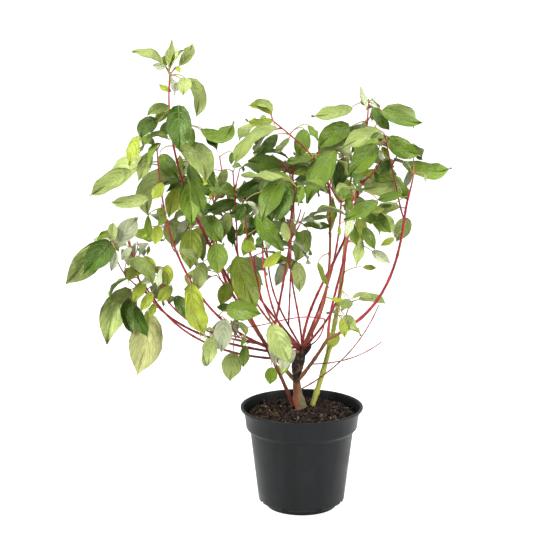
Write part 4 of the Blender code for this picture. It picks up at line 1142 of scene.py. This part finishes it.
tints = {  # upper and under side of each kind of leaf, as seen
    "dark": ((66, 100, 6), (122, 146, 80)),
    "green": ((94, 124, 14), (140, 162, 86)),
    "mid": ((114, 142, 34), (158, 176, 104)),
    "olive": ((132, 150, 34), (170, 184, 108)),
    "sage": ((142, 158, 82), (172, 186, 124)),
    "light": ((170, 186, 106), (196, 206, 150)),
    "lime": ((170, 185, 54), (192, 200, 110)),
    "pale": ((204, 212, 172), (218, 224, 198)),
    "autumn": ((196, 198, 128), (206, 206, 152)),
}
sprayTints = {  # how often each mass has leaves of each tint
    "leaves_leader": "mid mid light dark pale", "leaves_high_left": "light light lime mid olive",
    "leaves_far_left": "light pale mid", "leaves_far_tip": "light dark olive",
    "leaves_low_left": "light mid dark", "leaves_mid_left": "lime olive mid",
    "leaves_olive": "lime light olive mid", "leaves_centre_left": "dark dark mid pale",
    "leaves_front_left": "lime olive mid", "leaves_front": "dark mid olive",
    "leaves_back_left": "mid lime dark", "leaves_centre": "dark dark mid",
    "leaves_front_centre": "mid dark pale", "leaves_back_centre": "dark mid olive",
    "leaves_amber": "olive mid light dark", "leaves_crimson": "mid mid light olive",
    "leaves_right_inner": "dark mid olive light", "leaves_right_arc": "mid olive light",
    "leaves_right_top": "mid dark olive", "leaves_back": "mid dark olive",
    "leaves_back_right": "mid dark olive", "leaves_front_right": "mid olive dark",
    "leaves_yellow": "lime light", "leaves_yellow_low": "lime light",
    "leaves_hanging": "pale pale light", "leaves_low_front": "lime light pale",
}
painted = {  # leaves whose tint the eye would miss
    ("leaves_low_left", (0, 1)): "autumn", ("leaves_low_left", (0, 0)): "olive",
    ("leaves_low_left", (1, 0)): "mid", ("leaves_leader", (4, 0)): "dark",
    ("leaves_leader", (6, 0)): "light", ("leaves_leader", (6, 1)): "light", ("leaves_leader", (5, 1)): "lime",
    ("leaves_leader", (5, 0)): "pale", ("leaves_high_left", (5, 0)): "light",
    ("leaves_high_left", (4, 1)): "light", ("leaves_high_left", (5, 1)): "light",
    ("leaves_far_tip", (1, 0)): "light", ("leaves_crimson", (4, 1)): "dark",
    ("leaves_crimson", (4, 0)): "mid", ("leaves_amber", (4, 0)): "light",
    ("leaves_right_arc", (1, 0)): "mid", ("leaves_low_front", (1, 0)): "lime",
}


def leafMaterial(name, colour, under):
    bench = Bench(name)
    spot = bench.place()
    way = bench.node("ShaderNodeUVMap", {"uv_map": "leafWay"})
    parts = bench.node("ShaderNodeSeparateXYZ", {}, {0: way})
    across, length = parts, Wire(bench, parts.socket.node.outputs[1])
    fromRib = bench.node("ShaderNodeMath", {"operation": "ABSOLUTE"}, (across - 0.5,))
    rib = 1 - bench.smooth(fromRib, 0.004, 0.022)
    beat = bench.node("ShaderNodeMath", {"operation": "FRACT"}, (length * (leafForm["veins"] + 0.5) + 0.5,))
    off = bench.node("ShaderNodeMath", {"operation": "ABSOLUTE"}, (beat - 0.5,))
    vein = (1 - bench.smooth(off, 0.02, 0.10)) * (1 - bench.smooth(fromRib, 0.30, 0.50) * 0.6)
    lines = bench.node("ShaderNodeMath", {"operation": "MAXIMUM"}, (rib, vein * 0.60))
    broad = bench.noise(spot, 24.0, 2.0)
    mottle = bench.noise(spot, 85.0, 3.0, 0.6)
    fine = bench.noise(spot, 420.0, 2.0, 0.6)
    grain = bench.node("ShaderNodeCombineXYZ", {}, (across * 2.0, length * 34.0, 0.0))
    streak = bench.noise(grain, 1.0, 3.0, 0.6)
    base = rgb(*colour)
    # pale grey-green patches mixed into the colour are a painted sheen, a painted reflection on the gloss
    paintedSheen = tuple(0.72 * v + 0.28 * w for v, w in zip(base, rgb(188, 204, 140)))
    body = bench.mix(bench.smooth(broad, 0.36, 0.64), shade(base, 0.62), shade(base, 1.16))
    body = bench.mix(bench.smooth(mottle, 0.50, 0.66) * 0.40, body, paintedSheen)
    # the strips between the veins swell; a painted highlight lightens them and painted shade darkens the leaf towards
    # the veins
    paintedStripLight = bench.smooth(off, 0.12, 0.46) * (1 - rib)
    body = bench.mix(paintedStripLight * 0.55, bench.mix(0.35, body, shade(base, 0.45)), bench.mix(0.45, body, shade(base, 1.30)))
    body = bench.mix(bench.smooth(streak, 0.44, 0.60) * 0.42, body, shade(base, 0.58))
    pale = tuple(0.55 * v + 0.45 * w for v, w in zip(base, rgb(200, 214, 130)))
    body = bench.mix(lines * (0.60 if under else 0.50), body, pale)
    side = 1.0 if under else -1.0
    height = mottle * 1.2 + fine * 0.06 + streak * 0.16 + (vein * 0.16 + rib * 0.3) * side
    return bench.finish(
        colour=body, roughness=bench.smooth(fine, 0.2, 0.9) * 0.14 + (0.52 if under else 0.34),
        normal=bench.bump(height, 0.0022, 0.9), specular=0.55, gleam=leafForm["gleam"],
    )


def makeLeaves(grown, placed):
    heaps = {tint: Heap() for tint in tints}
    for number, blade in enumerate(placed):
        dice = random.Random(f"shown {number}")
        blade["twist"] = math.radians(dice.uniform(-22, 22))
        fineLeaf(heaps[blade["tint"]], blade, dice, leafGrids["rich"])
    for name, parts in grown.items():
        choices = sprayTints[name].split()
        for leaf in parts["leaves"]:
            spray = leaf["spray"]
            tint = painted.get((name, spray)) or random.Random(f"tint {name} {spray[0]}").choice(choices)
            dice = random.Random(f"blade {name} {spray} {leaf['length']:.5f}")
            fineLeaf(heaps[tint], grownBlade(leaf, dice), dice, leafGrids["plain"])
    pieces = []
    for tint, heap in heaps.items():
        if not heap.count:
            continue
        upper, under = tints[tint]
        title = "leaves" + tint.capitalize()
        materials = [leafMaterial(title + "Upper", upper, False), leafMaterial(title + "Under", under, True)]
        pieces.append(heap.build(title, materials, sharp=75))
    return pieces


# Stems
barks = {
    "red": ((200, 70, 70), (134, 36, 46), 0.42), "yellow": ((186, 190, 84), (150, 156, 64), 0.50),
    "olive": ((158, 128, 70), (116, 76, 46), 0.55), "brown": ((150, 104, 66), (110, 64, 44), 0.6),
    "amber": ((196, 112, 74), (158, 78, 56), 0.5), "old": ((124, 96, 70), (44, 33, 29), 0.8),
    "petiole": ((176, 120, 92), (150, 160, 90), 0.5),
}
agedBark = {"first": (172, 92, 70), "second": (92, 46, 40), "below": (0.235, 0.31)}
oldBark = {"foot": (156, 96, 70), "grey": (120, 112, 80), "foot up to": (0.185, 0.205)}


def barkMaterial(kind):
    first, second, rough = barks[kind]
    bench = Bench(kind + "Bark")
    spot = bench.place()
    long = bench.noise(bench.place((60, 60, 9)), 1.0, 4.0, 0.6)
    specks = bench.noise(spot, 900.0, 2.0)
    body = bench.mix(bench.smooth(long, 0.35, 0.65), rgb(*first), rgb(*second))
    body = bench.mix(bench.smooth(specks, 0.60, 0.72) * 0.35, body, shade(rgb(*first), 1.9))
    if kind == "red":
        # red only where it is young: lower down the same stems have gone brown
        height = bench.node("ShaderNodeSeparateXYZ", {}, {0: spot}, out=2)
        aged = bench.mix(bench.smooth(long, 0.35, 0.65), rgb(*agedBark["first"]), rgb(*agedBark["second"]))
        wander = bench.noise(spot, 14.0, 2.0) * 0.10 - 0.05
        body = bench.mix(bench.smooth(height + wander, *agedBark["below"]), aged, body)
    if kind == "old":
        # burnt black above, with grey-brown patches; smooth, red-brown and grey at the foot
        patch = bench.noise(spot, 110.0, 4.0, 0.65)
        parts = bench.node("ShaderNodeSeparateXYZ", {}, {0: spot})
        across, height = parts, Wire(bench, parts.socket.node.outputs[2])
        foot = bench.mix(bench.smooth(across + long * 0.006, -0.006, 0.003), rgb(*oldBark["foot"]), rgb(*oldBark["grey"]))
        foot = bench.mix(bench.smooth(long, 0.45, 0.60) * 0.6, foot, shade(rgb(*oldBark["foot"]), 0.5))
        body = bench.mix(bench.smooth(patch, 0.40, 0.52), body, rgb(30, 24, 22))
        body = bench.mix(bench.smooth(height + patch * 0.02 - 0.01, *oldBark["foot up to"]), foot, body)
    height = long * 0.7 + specks * 0.3
    return bench.finish(
        colour=body, roughness=bench.smooth(specks, 0.3, 0.8) * 0.15 + rough, normal=bench.bump(height, 0.0006, 0.6),
        specular=0.35,
    )


def stemPiece(heap, name, route):
    # a limb with the rings and swellings of its leaf nodes
    path, radius = route["path"], route["radius"]
    total, nodes = lengthOf(path), nodesOn(name, path)

    def thick(t):
        near = sum(math.exp(-(((t - n) * total / stemForm["nodeLength"]) ** 2)) for n in nodes)
        return radius(t) * (1 + stemForm["nodeSwell"] * near) * (stemForm["shoots"] if route["young"] else 1.0)

    def relief(point, t):
        return radius(t) * 0.10 * noise.noise(point * 260.0)

    steps = max(6, int(total / stemForm["stepLength"]))
    finePipe(heap, path, thick, stemForm["sides"], steps, relief)


def trunkRelief(point, t):
    coarse = noise.noise(point * 120.0) * 0.0011
    fine = noise.noise(Vector((point.x * 620.0, point.y * 620.0, point.z * 190.0))) * 0.00045
    knots = max(0.0, noise.noise(point * 75.0 + Vector((3.0, 1.0, 7.0)))) * 0.0030 * (1.0 if t > 0.5 else 0.4)
    return coarse + fine + knots


def makeStems(routes, grown, placed):
    heaps = {kind: Heap() for kind in barks}
    for name, route in routes.items():
        if name == "trunk":
            finePipe(heaps["old"], route["path"], route["radius"], 40, 90, trunkRelief)
        else:
            stemPiece(heaps[route["bark"]], name, {**route, "young": False})
    for number, (foot, tip, first, last) in enumerate(trunkForm["stubs"]):
        foot, tip = Vector(foot), Vector(tip)
        line = bend(foot, tip, (tip - foot).normalized(), Vector((0, 0, 1)))
        finePipe(heaps["old"], line, lambda t, a=first, b=last: a + (b - a) * t, 16, 14,
                 lambda p, t: noise.noise(p * 500.0) * 0.0004)
    for name, parts in grown.items():
        bark = parts["stem"]["bark"]
        bark = bark if bark in ("yellow",) else "red"
        stemPiece(heaps[bark], name, {**parts["stem"], "young": True})
        for number, shoot in enumerate(parts["shoots"]):
            stemPiece(heaps[bark], f"{name} {number}", {**shoot, "young": True})
        for leaf in parts["leaves"]:
            ahead = aimed(leaf["heading"], leaf["climb"])
            start, end = leaf["root"], leaf["root"] + ahead * leaf["stalk"]
            beyond = aimed(leaf["heading"], leaf["climb"] * 0.6 - leaf["droop"] * 0.1)
            line = bend(start, end + beyond * leaf["length"] * 0.10, ahead, beyond)
            finePipe(heaps["petiole"], line, lambda t: 0.00105 - 0.0005 * t, 6, 6)
    for blade in placed:
        # a stalk from the twig into the foot of the midrib
        path, t = blade["bearer"]
        foot, ahead = path(t), Vector(blade["ahead"][0])
        root = Vector(blade["rib"][0])
        out = (root - foot).normalized()
        leave = (out + direction(path, t) * 0.6).normalized()
        line = bend(foot, root + ahead * blade["length"] * 0.06, leave, ahead)
        finePipe(heaps["petiole"], line, lambda s: 0.00100 - 0.0004 * s, 6, 9)
    return [heaps[kind].build(kind + "Stems" if kind != "petiole" else "petioles", [barkMaterial(kind)])
            for kind in barks if heaps[kind].count]


# Pot
potForm = {
    "sides": 160, "wall": 0.0018, "drains": 8, "drainWidth": 0.009, "drainTop": 0.0130,
    "outside": (  # radius, height, rounding
        (0.0, 0.0, 0.0), (0.0550, 0.0, 0.0012), (0.0558, 0.0100, 0.0006), (0.0668, 0.0100, 0.0016),
        (0.0800, 0.1215, 0.0020), (0.0812, 0.1233, 0.0008), (0.0862, 0.1265, 0.0030), (0.0876, 0.1420, 0.02),
        (0.0908, 0.1556, 0.0010), (0.0946, 0.1560, 0.0010), (0.0950, 0.1600, 0.0013),
    ),
    "inside": (
        (0.0914, 0.1600, 0.0010), (0.0898, 0.1578, 0.0010), (0.0858, 0.1420, 0.02), (0.0844, 0.1295, 0.003),
        (0.0782, 0.1225, 0.003), (0.0652, 0.0140, 0.002), (0.0636, 0.0118, 0.001), (0.0540, 0.0118, 0.001),
        (0.0532, 0.0020, 0.001), (0.0, 0.0020, 0.0),
    ),
}


def rounded(profile, steps=5):
    # each corner of a profile becomes a short arc of its own size
    out = []
    for k, (radius, height, size) in enumerate(profile):
        here = Vector((radius, height))
        if size <= 0.0 or k in (0, len(profile) - 1):
            out.append(here)
            continue
        before, after = Vector(profile[k - 1][:2]) - here, Vector(profile[k + 1][:2]) - here
        cut = min(size, before.length * 0.48, after.length * 0.48)
        a, b = here + before.normalized() * cut, here + after.normalized() * cut
        for s in range(steps + 1):
            t = s / steps
            out.append(a * (1 - t) ** 2 + here * (2 * t * (1 - t)) + b * t * t)
    return out


def spun(profile, sides, wobble=None):
    points = [Vector((0.0, 0.0, profile[0].y)), Vector((0.0, 0.0, profile[-1].y))]
    for spot in profile[1:-1]:
        for i in range(sides):
            a = 2 * math.pi * i / sides
            r = spot.x + (wobble(a, spot.y) if wobble else 0.0)
            points.append(Vector((r * math.cos(a), r * math.sin(a), spot.y)))
    faces, rows = [], len(profile) - 2
    last = 2 + (rows - 1) * sides
    for i in range(sides):
        j = (i + 1) % sides
        faces += [(0, 2 + j, 2 + i), (1, last + i, last + j)]
        for r in range(rows - 1):
            a, b = 2 + r * sides, 2 + (r + 1) * sides
            faces.append((a + i, a + j, b + j, b + i))
    return points, faces


def meshPiece(name, points, faces, material=None, smooth=True):
    data = bpy.data.meshes.new(name)
    data.from_pydata([tuple(p) for p in points], [], faces)
    data.validate()
    if smooth:
        data.shade_smooth()
    if material:
        data.materials.append(material)
    piece = bpy.data.objects.new(name, data)
    scene.collection.objects.link(piece)
    return piece


def potMaterial():
    bench = Bench("potPlastic")
    spot = bench.place()
    streak = bench.noise(bench.place((34, 34, 3.0)), 1.0, 4.0, 0.6, 0.4)
    cloud = bench.noise(spot, 22.0, 3.0, 0.5)
    scuff = bench.noise(bench.place((160, 160, 420)), 1.0, 3.0, 0.7)
    grit = bench.noise(spot, 1500.0, 2.0)
    body = bench.mix(bench.smooth(streak, 0.36, 0.66), rgb(11, 12, 13), rgb(22, 25, 27))
    body = bench.mix(bench.smooth(cloud, 0.52, 0.74) * 0.35, body, rgb(38, 42, 45))
    body = bench.mix(bench.smooth(scuff, 0.66, 0.78) * 0.45, body, rgb(84, 88, 88))
    rough = bench.smooth(cloud, 0.3, 0.7) * 0.12 + bench.smooth(scuff, 0.6, 0.8) * 0.15 + 0.34
    height = streak * 0.6 + grit * 0.1 + scuff * 0.15
    return bench.finish(colour=body, roughness=rough, normal=bench.bump(height, 0.0005, 0.5), specular=0.20)


def makePot():
    # the rim of a thin pot is never quite round
    def wobble(a, height):
        share = (height / 0.16) ** 2
        return share * (0.00035 * math.sin(2 * a + 0.6) + 0.00020 * math.sin(5 * a + 1.7))

    profile = rounded(potForm["outside"] + potForm["inside"])
    pot = meshPiece("potShell", *spun(profile, potForm["sides"], wobble))
    cutter = bmesh.new()
    for k in range(potForm["drains"]):
        turn = Matrix.Rotation(2 * math.pi * (k + 0.5) / potForm["drains"], 4, "Z")
        low, high = 0.0080, potForm["drainTop"]
        place = Matrix.Translation((0.0650, 0.0, (low + high) / 2))
        size = Matrix.Diagonal((0.0150, potForm["drainWidth"], high - low, 1.0))
        bmesh.ops.create_cube(cutter, size=1.0, matrix=turn @ place @ size)
    data = bpy.data.meshes.new("drainCutter")
    cutter.to_mesh(data)
    cutter.free()
    tool = bpy.data.objects.new("drainCutter", data)
    scene.collection.objects.link(tool)
    cut = pot.modifiers.new("drains", "BOOLEAN")
    cut.operation, cut.object, cut.solver = "DIFFERENCE", tool, "EXACT"
    shaped = bpy.data.meshes.new_from_object(pot.evaluated_get(bpy.context.evaluated_depsgraph_get()))
    pot.modifiers.clear()
    pot.data = shaped
    shaped.shade_smooth()
    shaped.set_sharp_from_angle(angle=math.radians(32))
    shaped.materials.append(potMaterial())
    bpy.data.objects.remove(tool, do_unlink=True)
    return pot


# Soil: rough compost under a layer of curled bark chips
soilForm = {
    "edge": 0.1450, "crown": 0.1520, "flat": 0.043, "rim": 0.0855, "centre": (0.0, 0.012), "rows": 60, "sides": 180,
    "chips": 1200, "seed": 11,
}


def soilHeight(x, y):
    away = math.hypot(x - soilForm["centre"][0], y - soilForm["centre"][1])
    slope = min(1.0, max(0.0, (away - soilForm["flat"]) / (soilForm["rim"] - soilForm["flat"])))
    spot = Vector((x, y, 0.0))
    rough = noise.fractal(spot * 130.0, 1.0, 2.0, 3) * 0.0012
    heaps = noise.noise(spot * 34.0) * 0.0016 * min(1.0, away / 0.04)
    return soilForm["crown"] - 0.0012 + (soilForm["edge"] - soilForm["crown"]) * slope + rough + heaps


def soilGroundMaterial():
    bench = Bench("soilGround")
    spot = bench.place()
    crumbs = bench.noise(spot, 330.0, 4.0, 0.65)
    body = bench.mix(bench.smooth(crumbs, 0.3, 0.7), rgb(16, 11, 9), rgb(46, 32, 24))
    return bench.finish(colour=body, roughness=0.95, normal=bench.bump(crumbs, 0.0015, 0.9), specular=0.2)


def chipMaterial():
    bench = Bench("barkChips")
    spot = bench.place()
    tone = bench.node("ShaderNodeAttribute", {"attribute_name": "chipTone"}, out=2)
    grain = bench.noise(bench.place((240, 240, 900)), 1.0, 4.0, 0.65)
    stops = ((0.0, rgb(12, 9, 7)), (0.34, rgb(24, 17, 12)), (0.66, rgb(42, 29, 20)), (0.87, rgb(70, 48, 32)),
             (0.96, rgb(108, 84, 58)), (1.0, rgb(146, 126, 98)))
    body = bench.mix(bench.smooth(grain, 0.35, 0.75) * 0.6, bench.ramp(tone, stops), rgb(26, 17, 13))
    return bench.finish(
        colour=body, roughness=bench.smooth(grain, 0.3, 0.7) * 0.2 + 0.62,
        normal=bench.bump(grain, 0.0007, 0.8), specular=0.3,
    )


def chipMesh(number):
    # a curled flake: a bent strip with two sides and an edge
    dice = random.Random(f"chip {number}")
    length, wide, curl = dice.uniform(0.007, 0.016), dice.uniform(0.0026, 0.0060), dice.uniform(0.6, 3.2)
    thick, twist = dice.uniform(0.0004, 0.0009), dice.uniform(-0.8, 0.8)
    rows = 6
    points, faces = [], []
    for k in range(rows + 1):
        t = k / rows - 0.5
        a = curl * t
        radius = length / max(curl, 0.2)
        centre = Vector((radius * math.sin(a), 0.0, radius * (1 - math.cos(a))))
        normal = Vector((-math.sin(a), 0.0, math.cos(a)))
        turn = Matrix.Rotation(twist * t, 3, Vector((math.cos(a), 0.0, math.sin(a))))
        half = wide / 2 * (1 - abs(2 * t) ** 3 * 0.55) * dice.uniform(0.85, 1.1)
        side = turn @ Vector((0.0, 1.0, 0.0))
        normal = turn @ normal
        points += [centre - side * half, centre + side * half, centre + side * half * 0.9 + normal * thick,
                   centre - side * half * 0.9 + normal * thick]
    for k in range(rows):
        a, b = k * 4, k * 4 + 4
        for i in range(4):
            j = (i + 1) % 4
            faces.append((a + i, b + i, b + j, a + j))
    faces += [(0, 1, 2, 3), tuple(rows * 4 + i for i in (3, 2, 1, 0))]
    return points, faces


def chipTree(chips, material):
    tree = bpy.data.node_groups.new("barkScatter", "GeometryNodeTree")
    face = tree.interface
    face.new_socket("Geometry", in_out="INPUT", socket_type="NodeSocketGeometry")
    inputs = {}
    for title, kind, value in (("Chips per square metre", "NodeSocketFloat", 0.0), ("Smallest", "NodeSocketFloat", 0.6),
                               ("Largest", "NodeSocketFloat", 1.3), ("Tilt", "NodeSocketFloat", 0.5),
                               ("Seed", "NodeSocketInt", 0)):
        socket = face.new_socket(title, in_out="INPUT", socket_type=kind)
        socket.default_value = value
        inputs[title] = socket.identifier
    face.new_socket("Geometry", in_out="OUTPUT", socket_type="NodeSocketGeometry")
    nodes, links = tree.nodes, tree.links

    def put(kind, settings=None, **values):
        made = nodes.new(kind)
        for key, value in (settings or {}).items():
            setattr(made, key, value)
        for key, value in values.items():
            spot = made.inputs[key.replace("_", " ")]
            if hasattr(value, "is_output"):
                links.new(value, spot)
            else:
                spot.default_value = value
        return made

    start = nodes.new("NodeGroupInput")
    points = put("GeometryNodeDistributePointsOnFaces", {"distribute_method": "RANDOM"}, Mesh=start.outputs["Geometry"],
                 Density=start.outputs["Chips per square metre"], Seed=start.outputs["Seed"])
    tone = put("FunctionNodeRandomValue", {"data_type": "FLOAT"}, Seed=start.outputs["Seed"])
    named = put("GeometryNodeStoreNamedAttribute", {"data_type": "FLOAT", "domain": "POINT"},
                Geometry=points.outputs["Points"], Name="chipTone")
    links.new(tone.outputs[1], named.inputs["Value"])
    joined = nodes.new("GeometryNodeJoinGeometry")
    for chip in chips:
        info = put("GeometryNodeObjectInfo", {"transform_space": "ORIGINAL"}, Object=chip, As_Instance=True)
        links.new(info.outputs["Geometry"], joined.inputs["Geometry"])
    turn = put("FunctionNodeRandomValue", {"data_type": "FLOAT_VECTOR"})
    low = put("ShaderNodeCombineXYZ", X=0.0, Y=0.0, Z=0.0)
    high = put("ShaderNodeCombineXYZ", Z=6.2832)
    minus = put("ShaderNodeMath", {"operation": "MULTIPLY"})
    links.new(start.outputs["Tilt"], minus.inputs[0])
    minus.inputs[1].default_value = -1.0
    for axis in ("X", "Y"):
        links.new(minus.outputs[0], low.inputs[axis])
        links.new(start.outputs["Tilt"], high.inputs[axis])
    links.new(low.outputs[0], turn.inputs[0])
    links.new(high.outputs[0], turn.inputs[1])
    size = put("FunctionNodeRandomValue", {"data_type": "FLOAT"})
    links.new(start.outputs["Smallest"], size.inputs[2])
    links.new(start.outputs["Largest"], size.inputs[3])
    size.inputs["Seed"].default_value = 5
    placed = put("GeometryNodeInstanceOnPoints", Points=named.outputs["Geometry"], Instance=joined.outputs["Geometry"],
                 Pick_Instance=True, Rotation=turn.outputs[0], Scale=size.outputs[1])
    real = put("GeometryNodeRealizeInstances", Geometry=placed.outputs["Instances"])
    dressed = put("GeometryNodeSetMaterial", Geometry=real.outputs["Geometry"], Material=material)
    end = nodes.new("NodeGroupOutput")
    links.new(dressed.outputs["Geometry"], end.inputs["Geometry"])
    return tree, inputs


def makeSoil(keepOff):
    rows, sides = soilForm["rows"], soilForm["sides"]
    points, faces = [Vector((0.0, 0.0, soilHeight(0.0, 0.0)))], []
    for r in range(1, rows + 1):
        radius = soilForm["rim"] * r / rows
        for i in range(sides):
            a = 2 * math.pi * i / sides
            x, y = radius * math.cos(a), radius * math.sin(a)
            points.append(Vector((x, y, soilHeight(x, y))))
    # an underside closes the disc
    for i in range(sides):
        a = 2 * math.pi * i / sides
        points.append(Vector((0.0835 * math.cos(a), 0.0835 * math.sin(a), 0.1330)))
    points.append(Vector((0.0, 0.0, 0.1330)))
    for i in range(sides):
        j = (i + 1) % sides
        faces.append((0, 1 + i, 1 + j))
        for r in range(rows):
            a, b = 1 + r * sides, 1 + (r + 1) * sides
            faces.append((a + i, b + i, b + j, a + j))
        last = 1 + rows * sides
        faces.append((last + j, last + i, len(points) - 1))
    ground = meshPiece("soilGround", points, faces, soilGroundMaterial())
    # chips lie on a copy of the top, a little inside the wall
    top = bmesh.new()
    top.from_mesh(ground.data)
    drop = [f for f in top.faces if f.normal.z < 0.3 or f.calc_center_median().xy.length > soilForm["rim"] - 0.0045
            or any((f.calc_center_median().xy - spot).length < size for spot, size in keepOff)]
    bmesh.ops.delete(top, geom=drop, context="FACES")
    area = sum(f.calc_area() for f in top.faces)
    data = bpy.data.meshes.new("barkChips")
    top.to_mesh(data)
    top.free()
    piece = bpy.data.objects.new("barkChips", data)
    scene.collection.objects.link(piece)
    material = chipMaterial()
    chips = [meshPiece(f"chip{k}", *chipMesh(k), material, smooth=False) for k in range(7)]
    tree, inputs = chipTree(chips, material)
    scatter = piece.modifiers.new("barkScatter", "NODES")
    scatter.node_group = tree
    scatter[inputs["Chips per square metre"]] = soilForm["chips"] / area
    scatter[inputs["Smallest"]] = 0.55
    scatter[inputs["Largest"]] = 1.35
    scatter[inputs["Tilt"]] = 0.55
    scatter[inputs["Seed"]] = soilForm["seed"]
    made = bpy.data.meshes.new_from_object(piece.evaluated_get(bpy.context.evaluated_depsgraph_get()))
    piece.modifiers.clear()
    piece.data = made
    made.shade_flat()
    for chip in chips:
        bpy.data.objects.remove(chip, do_unlink=True)
    return [ground, piece]


# Floor and light
def makeStage():
    points = [(-40, -10, 0), (40, -10, 0), (40, 200, 0), (-40, 200, 0)]
    bench = Bench("floorPaper")
    grain = bench.noise(bench.place(), 60.0, 2.0)
    body = bench.mix(grain, rgb(176, 176, 176), rgb(180, 180, 180))
    bench.shader.inputs["Emission Color"].default_value = (1.0, 1.0, 1.0, 1.0)
    bench.shader.inputs["Emission Strength"].default_value = 0.88
    floor = meshPiece("floor", points, [(0, 1, 2, 3)], bench.finish(colour=body, roughness=0.9, specular=0.1))
    floor.visible_diffuse = False  # a studio keeps the floor's light off the plant
    # soft light from all round, brighter from above
    world = bpy.data.worlds.new("softbox")
    world.use_nodes = True
    nodes, links = world.node_tree.nodes, world.node_tree.links
    spot, parts, share = (nodes.new("ShaderNode" + kind) for kind in ("TexCoord", "SeparateXYZ", "MapRange"))
    share.inputs["From Min"].default_value = -1.0
    share.inputs["To Min"].default_value, share.inputs["To Max"].default_value = lights["world"]
    links.new(spot.outputs["Generated"], parts.inputs[0])
    links.new(parts.outputs["Z"], share.inputs["Value"])
    links.new(share.outputs["Result"], nodes["Background"].inputs["Strength"])
    nodes["Background"].inputs["Color"].default_value = (1.0, 1.0, 1.0, 1.0)
    scene.world = world
    for name, (place, aim, size, power) in lights["areas"].items():
        data = bpy.data.lights.new(name, "AREA")
        data.shape, data.size, data.size_y = "RECTANGLE", *size
        data.energy = power
        lamp = bpy.data.objects.new(name, data)
        lamp.location = place
        lamp.rotation_euler = (Vector(aim) - Vector(place)).to_track_quat("-Z", "Y").to_euler()
        scene.collection.objects.link(lamp)


lights = {
    "world": (0.10, 0.98),
    "areas": {
        "leftBox": ((-1.9, -1.5, 1.9), (0.0, 0.0, 0.35), (1.2, 1.5), 94.0),
        "rightBox": ((2.0, -1.0, 1.6), (0.0, 0.0, 0.30), (1.0, 1.6), 40.0),
        "topBox": ((0.0, 0.2, 2.6), (0.0, 0.0, 0.30), (1.6, 1.6), 20.0),
    },
}

# Making it
scene.view_settings.view_transform = "Standard"
setCamera()
routes = allRoutes()
room, sight = Room(), Sight()
grown = growTwigs(routes, room)
placed = placeShown(routes, grown, room, sight)
print("shown leaves placed:", len(placed))
growLeaves(grown, room, sight)
print("leaves grown:", sum(len(parts["leaves"]) for parts in grown.values()))
for name, (count, seed) in sprigCounts.items():
    twigs, leaves = growSprigs(name, masses[name], grown[name], room, sight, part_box(name), count, seed)
    grown[name]["shoots"] = grown[name]["shoots"] + twigs
    grown[name]["leaves"] = grown[name]["leaves"] + leaves
print("with sprigs:", sum(len(parts["leaves"]) for parts in grown.values()), "leaves")
leafPieces = makeLeaves(grown, placed)
print("leaves", [(p.name, len(p.data.polygons)) for p in leafPieces])
stemPieces = makeStems(routes, grown, placed)
print("stems", [(p.name, len(p.data.polygons)) for p in stemPieces])
pot = makePot()
feet = ((Vector((0.0, 0.010)), 0.0100), (Vector((-0.0125, 0.018)), 0.0055), (Vector((0.0165, 0.022)), 0.0068))
soilPieces = makeSoil(feet)
print("pot and soil made")
makeStage()

massNodes = list(masses)
for piece in leafPieces:
    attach(piece, "root")
    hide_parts(*massNodes)
for piece in stemPieces:
    kind = piece.name.removesuffix("Stems")
    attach(piece, "root")
    if kind == "petioles":
        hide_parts(*massNodes)
        continue
    carried = [name for name, route in routes.items() if route["bark"] == kind]
    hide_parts(*carried)
for piece in [pot, *soilPieces]:
    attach(piece, "root")
    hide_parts("pot" if piece is pot else "soil")
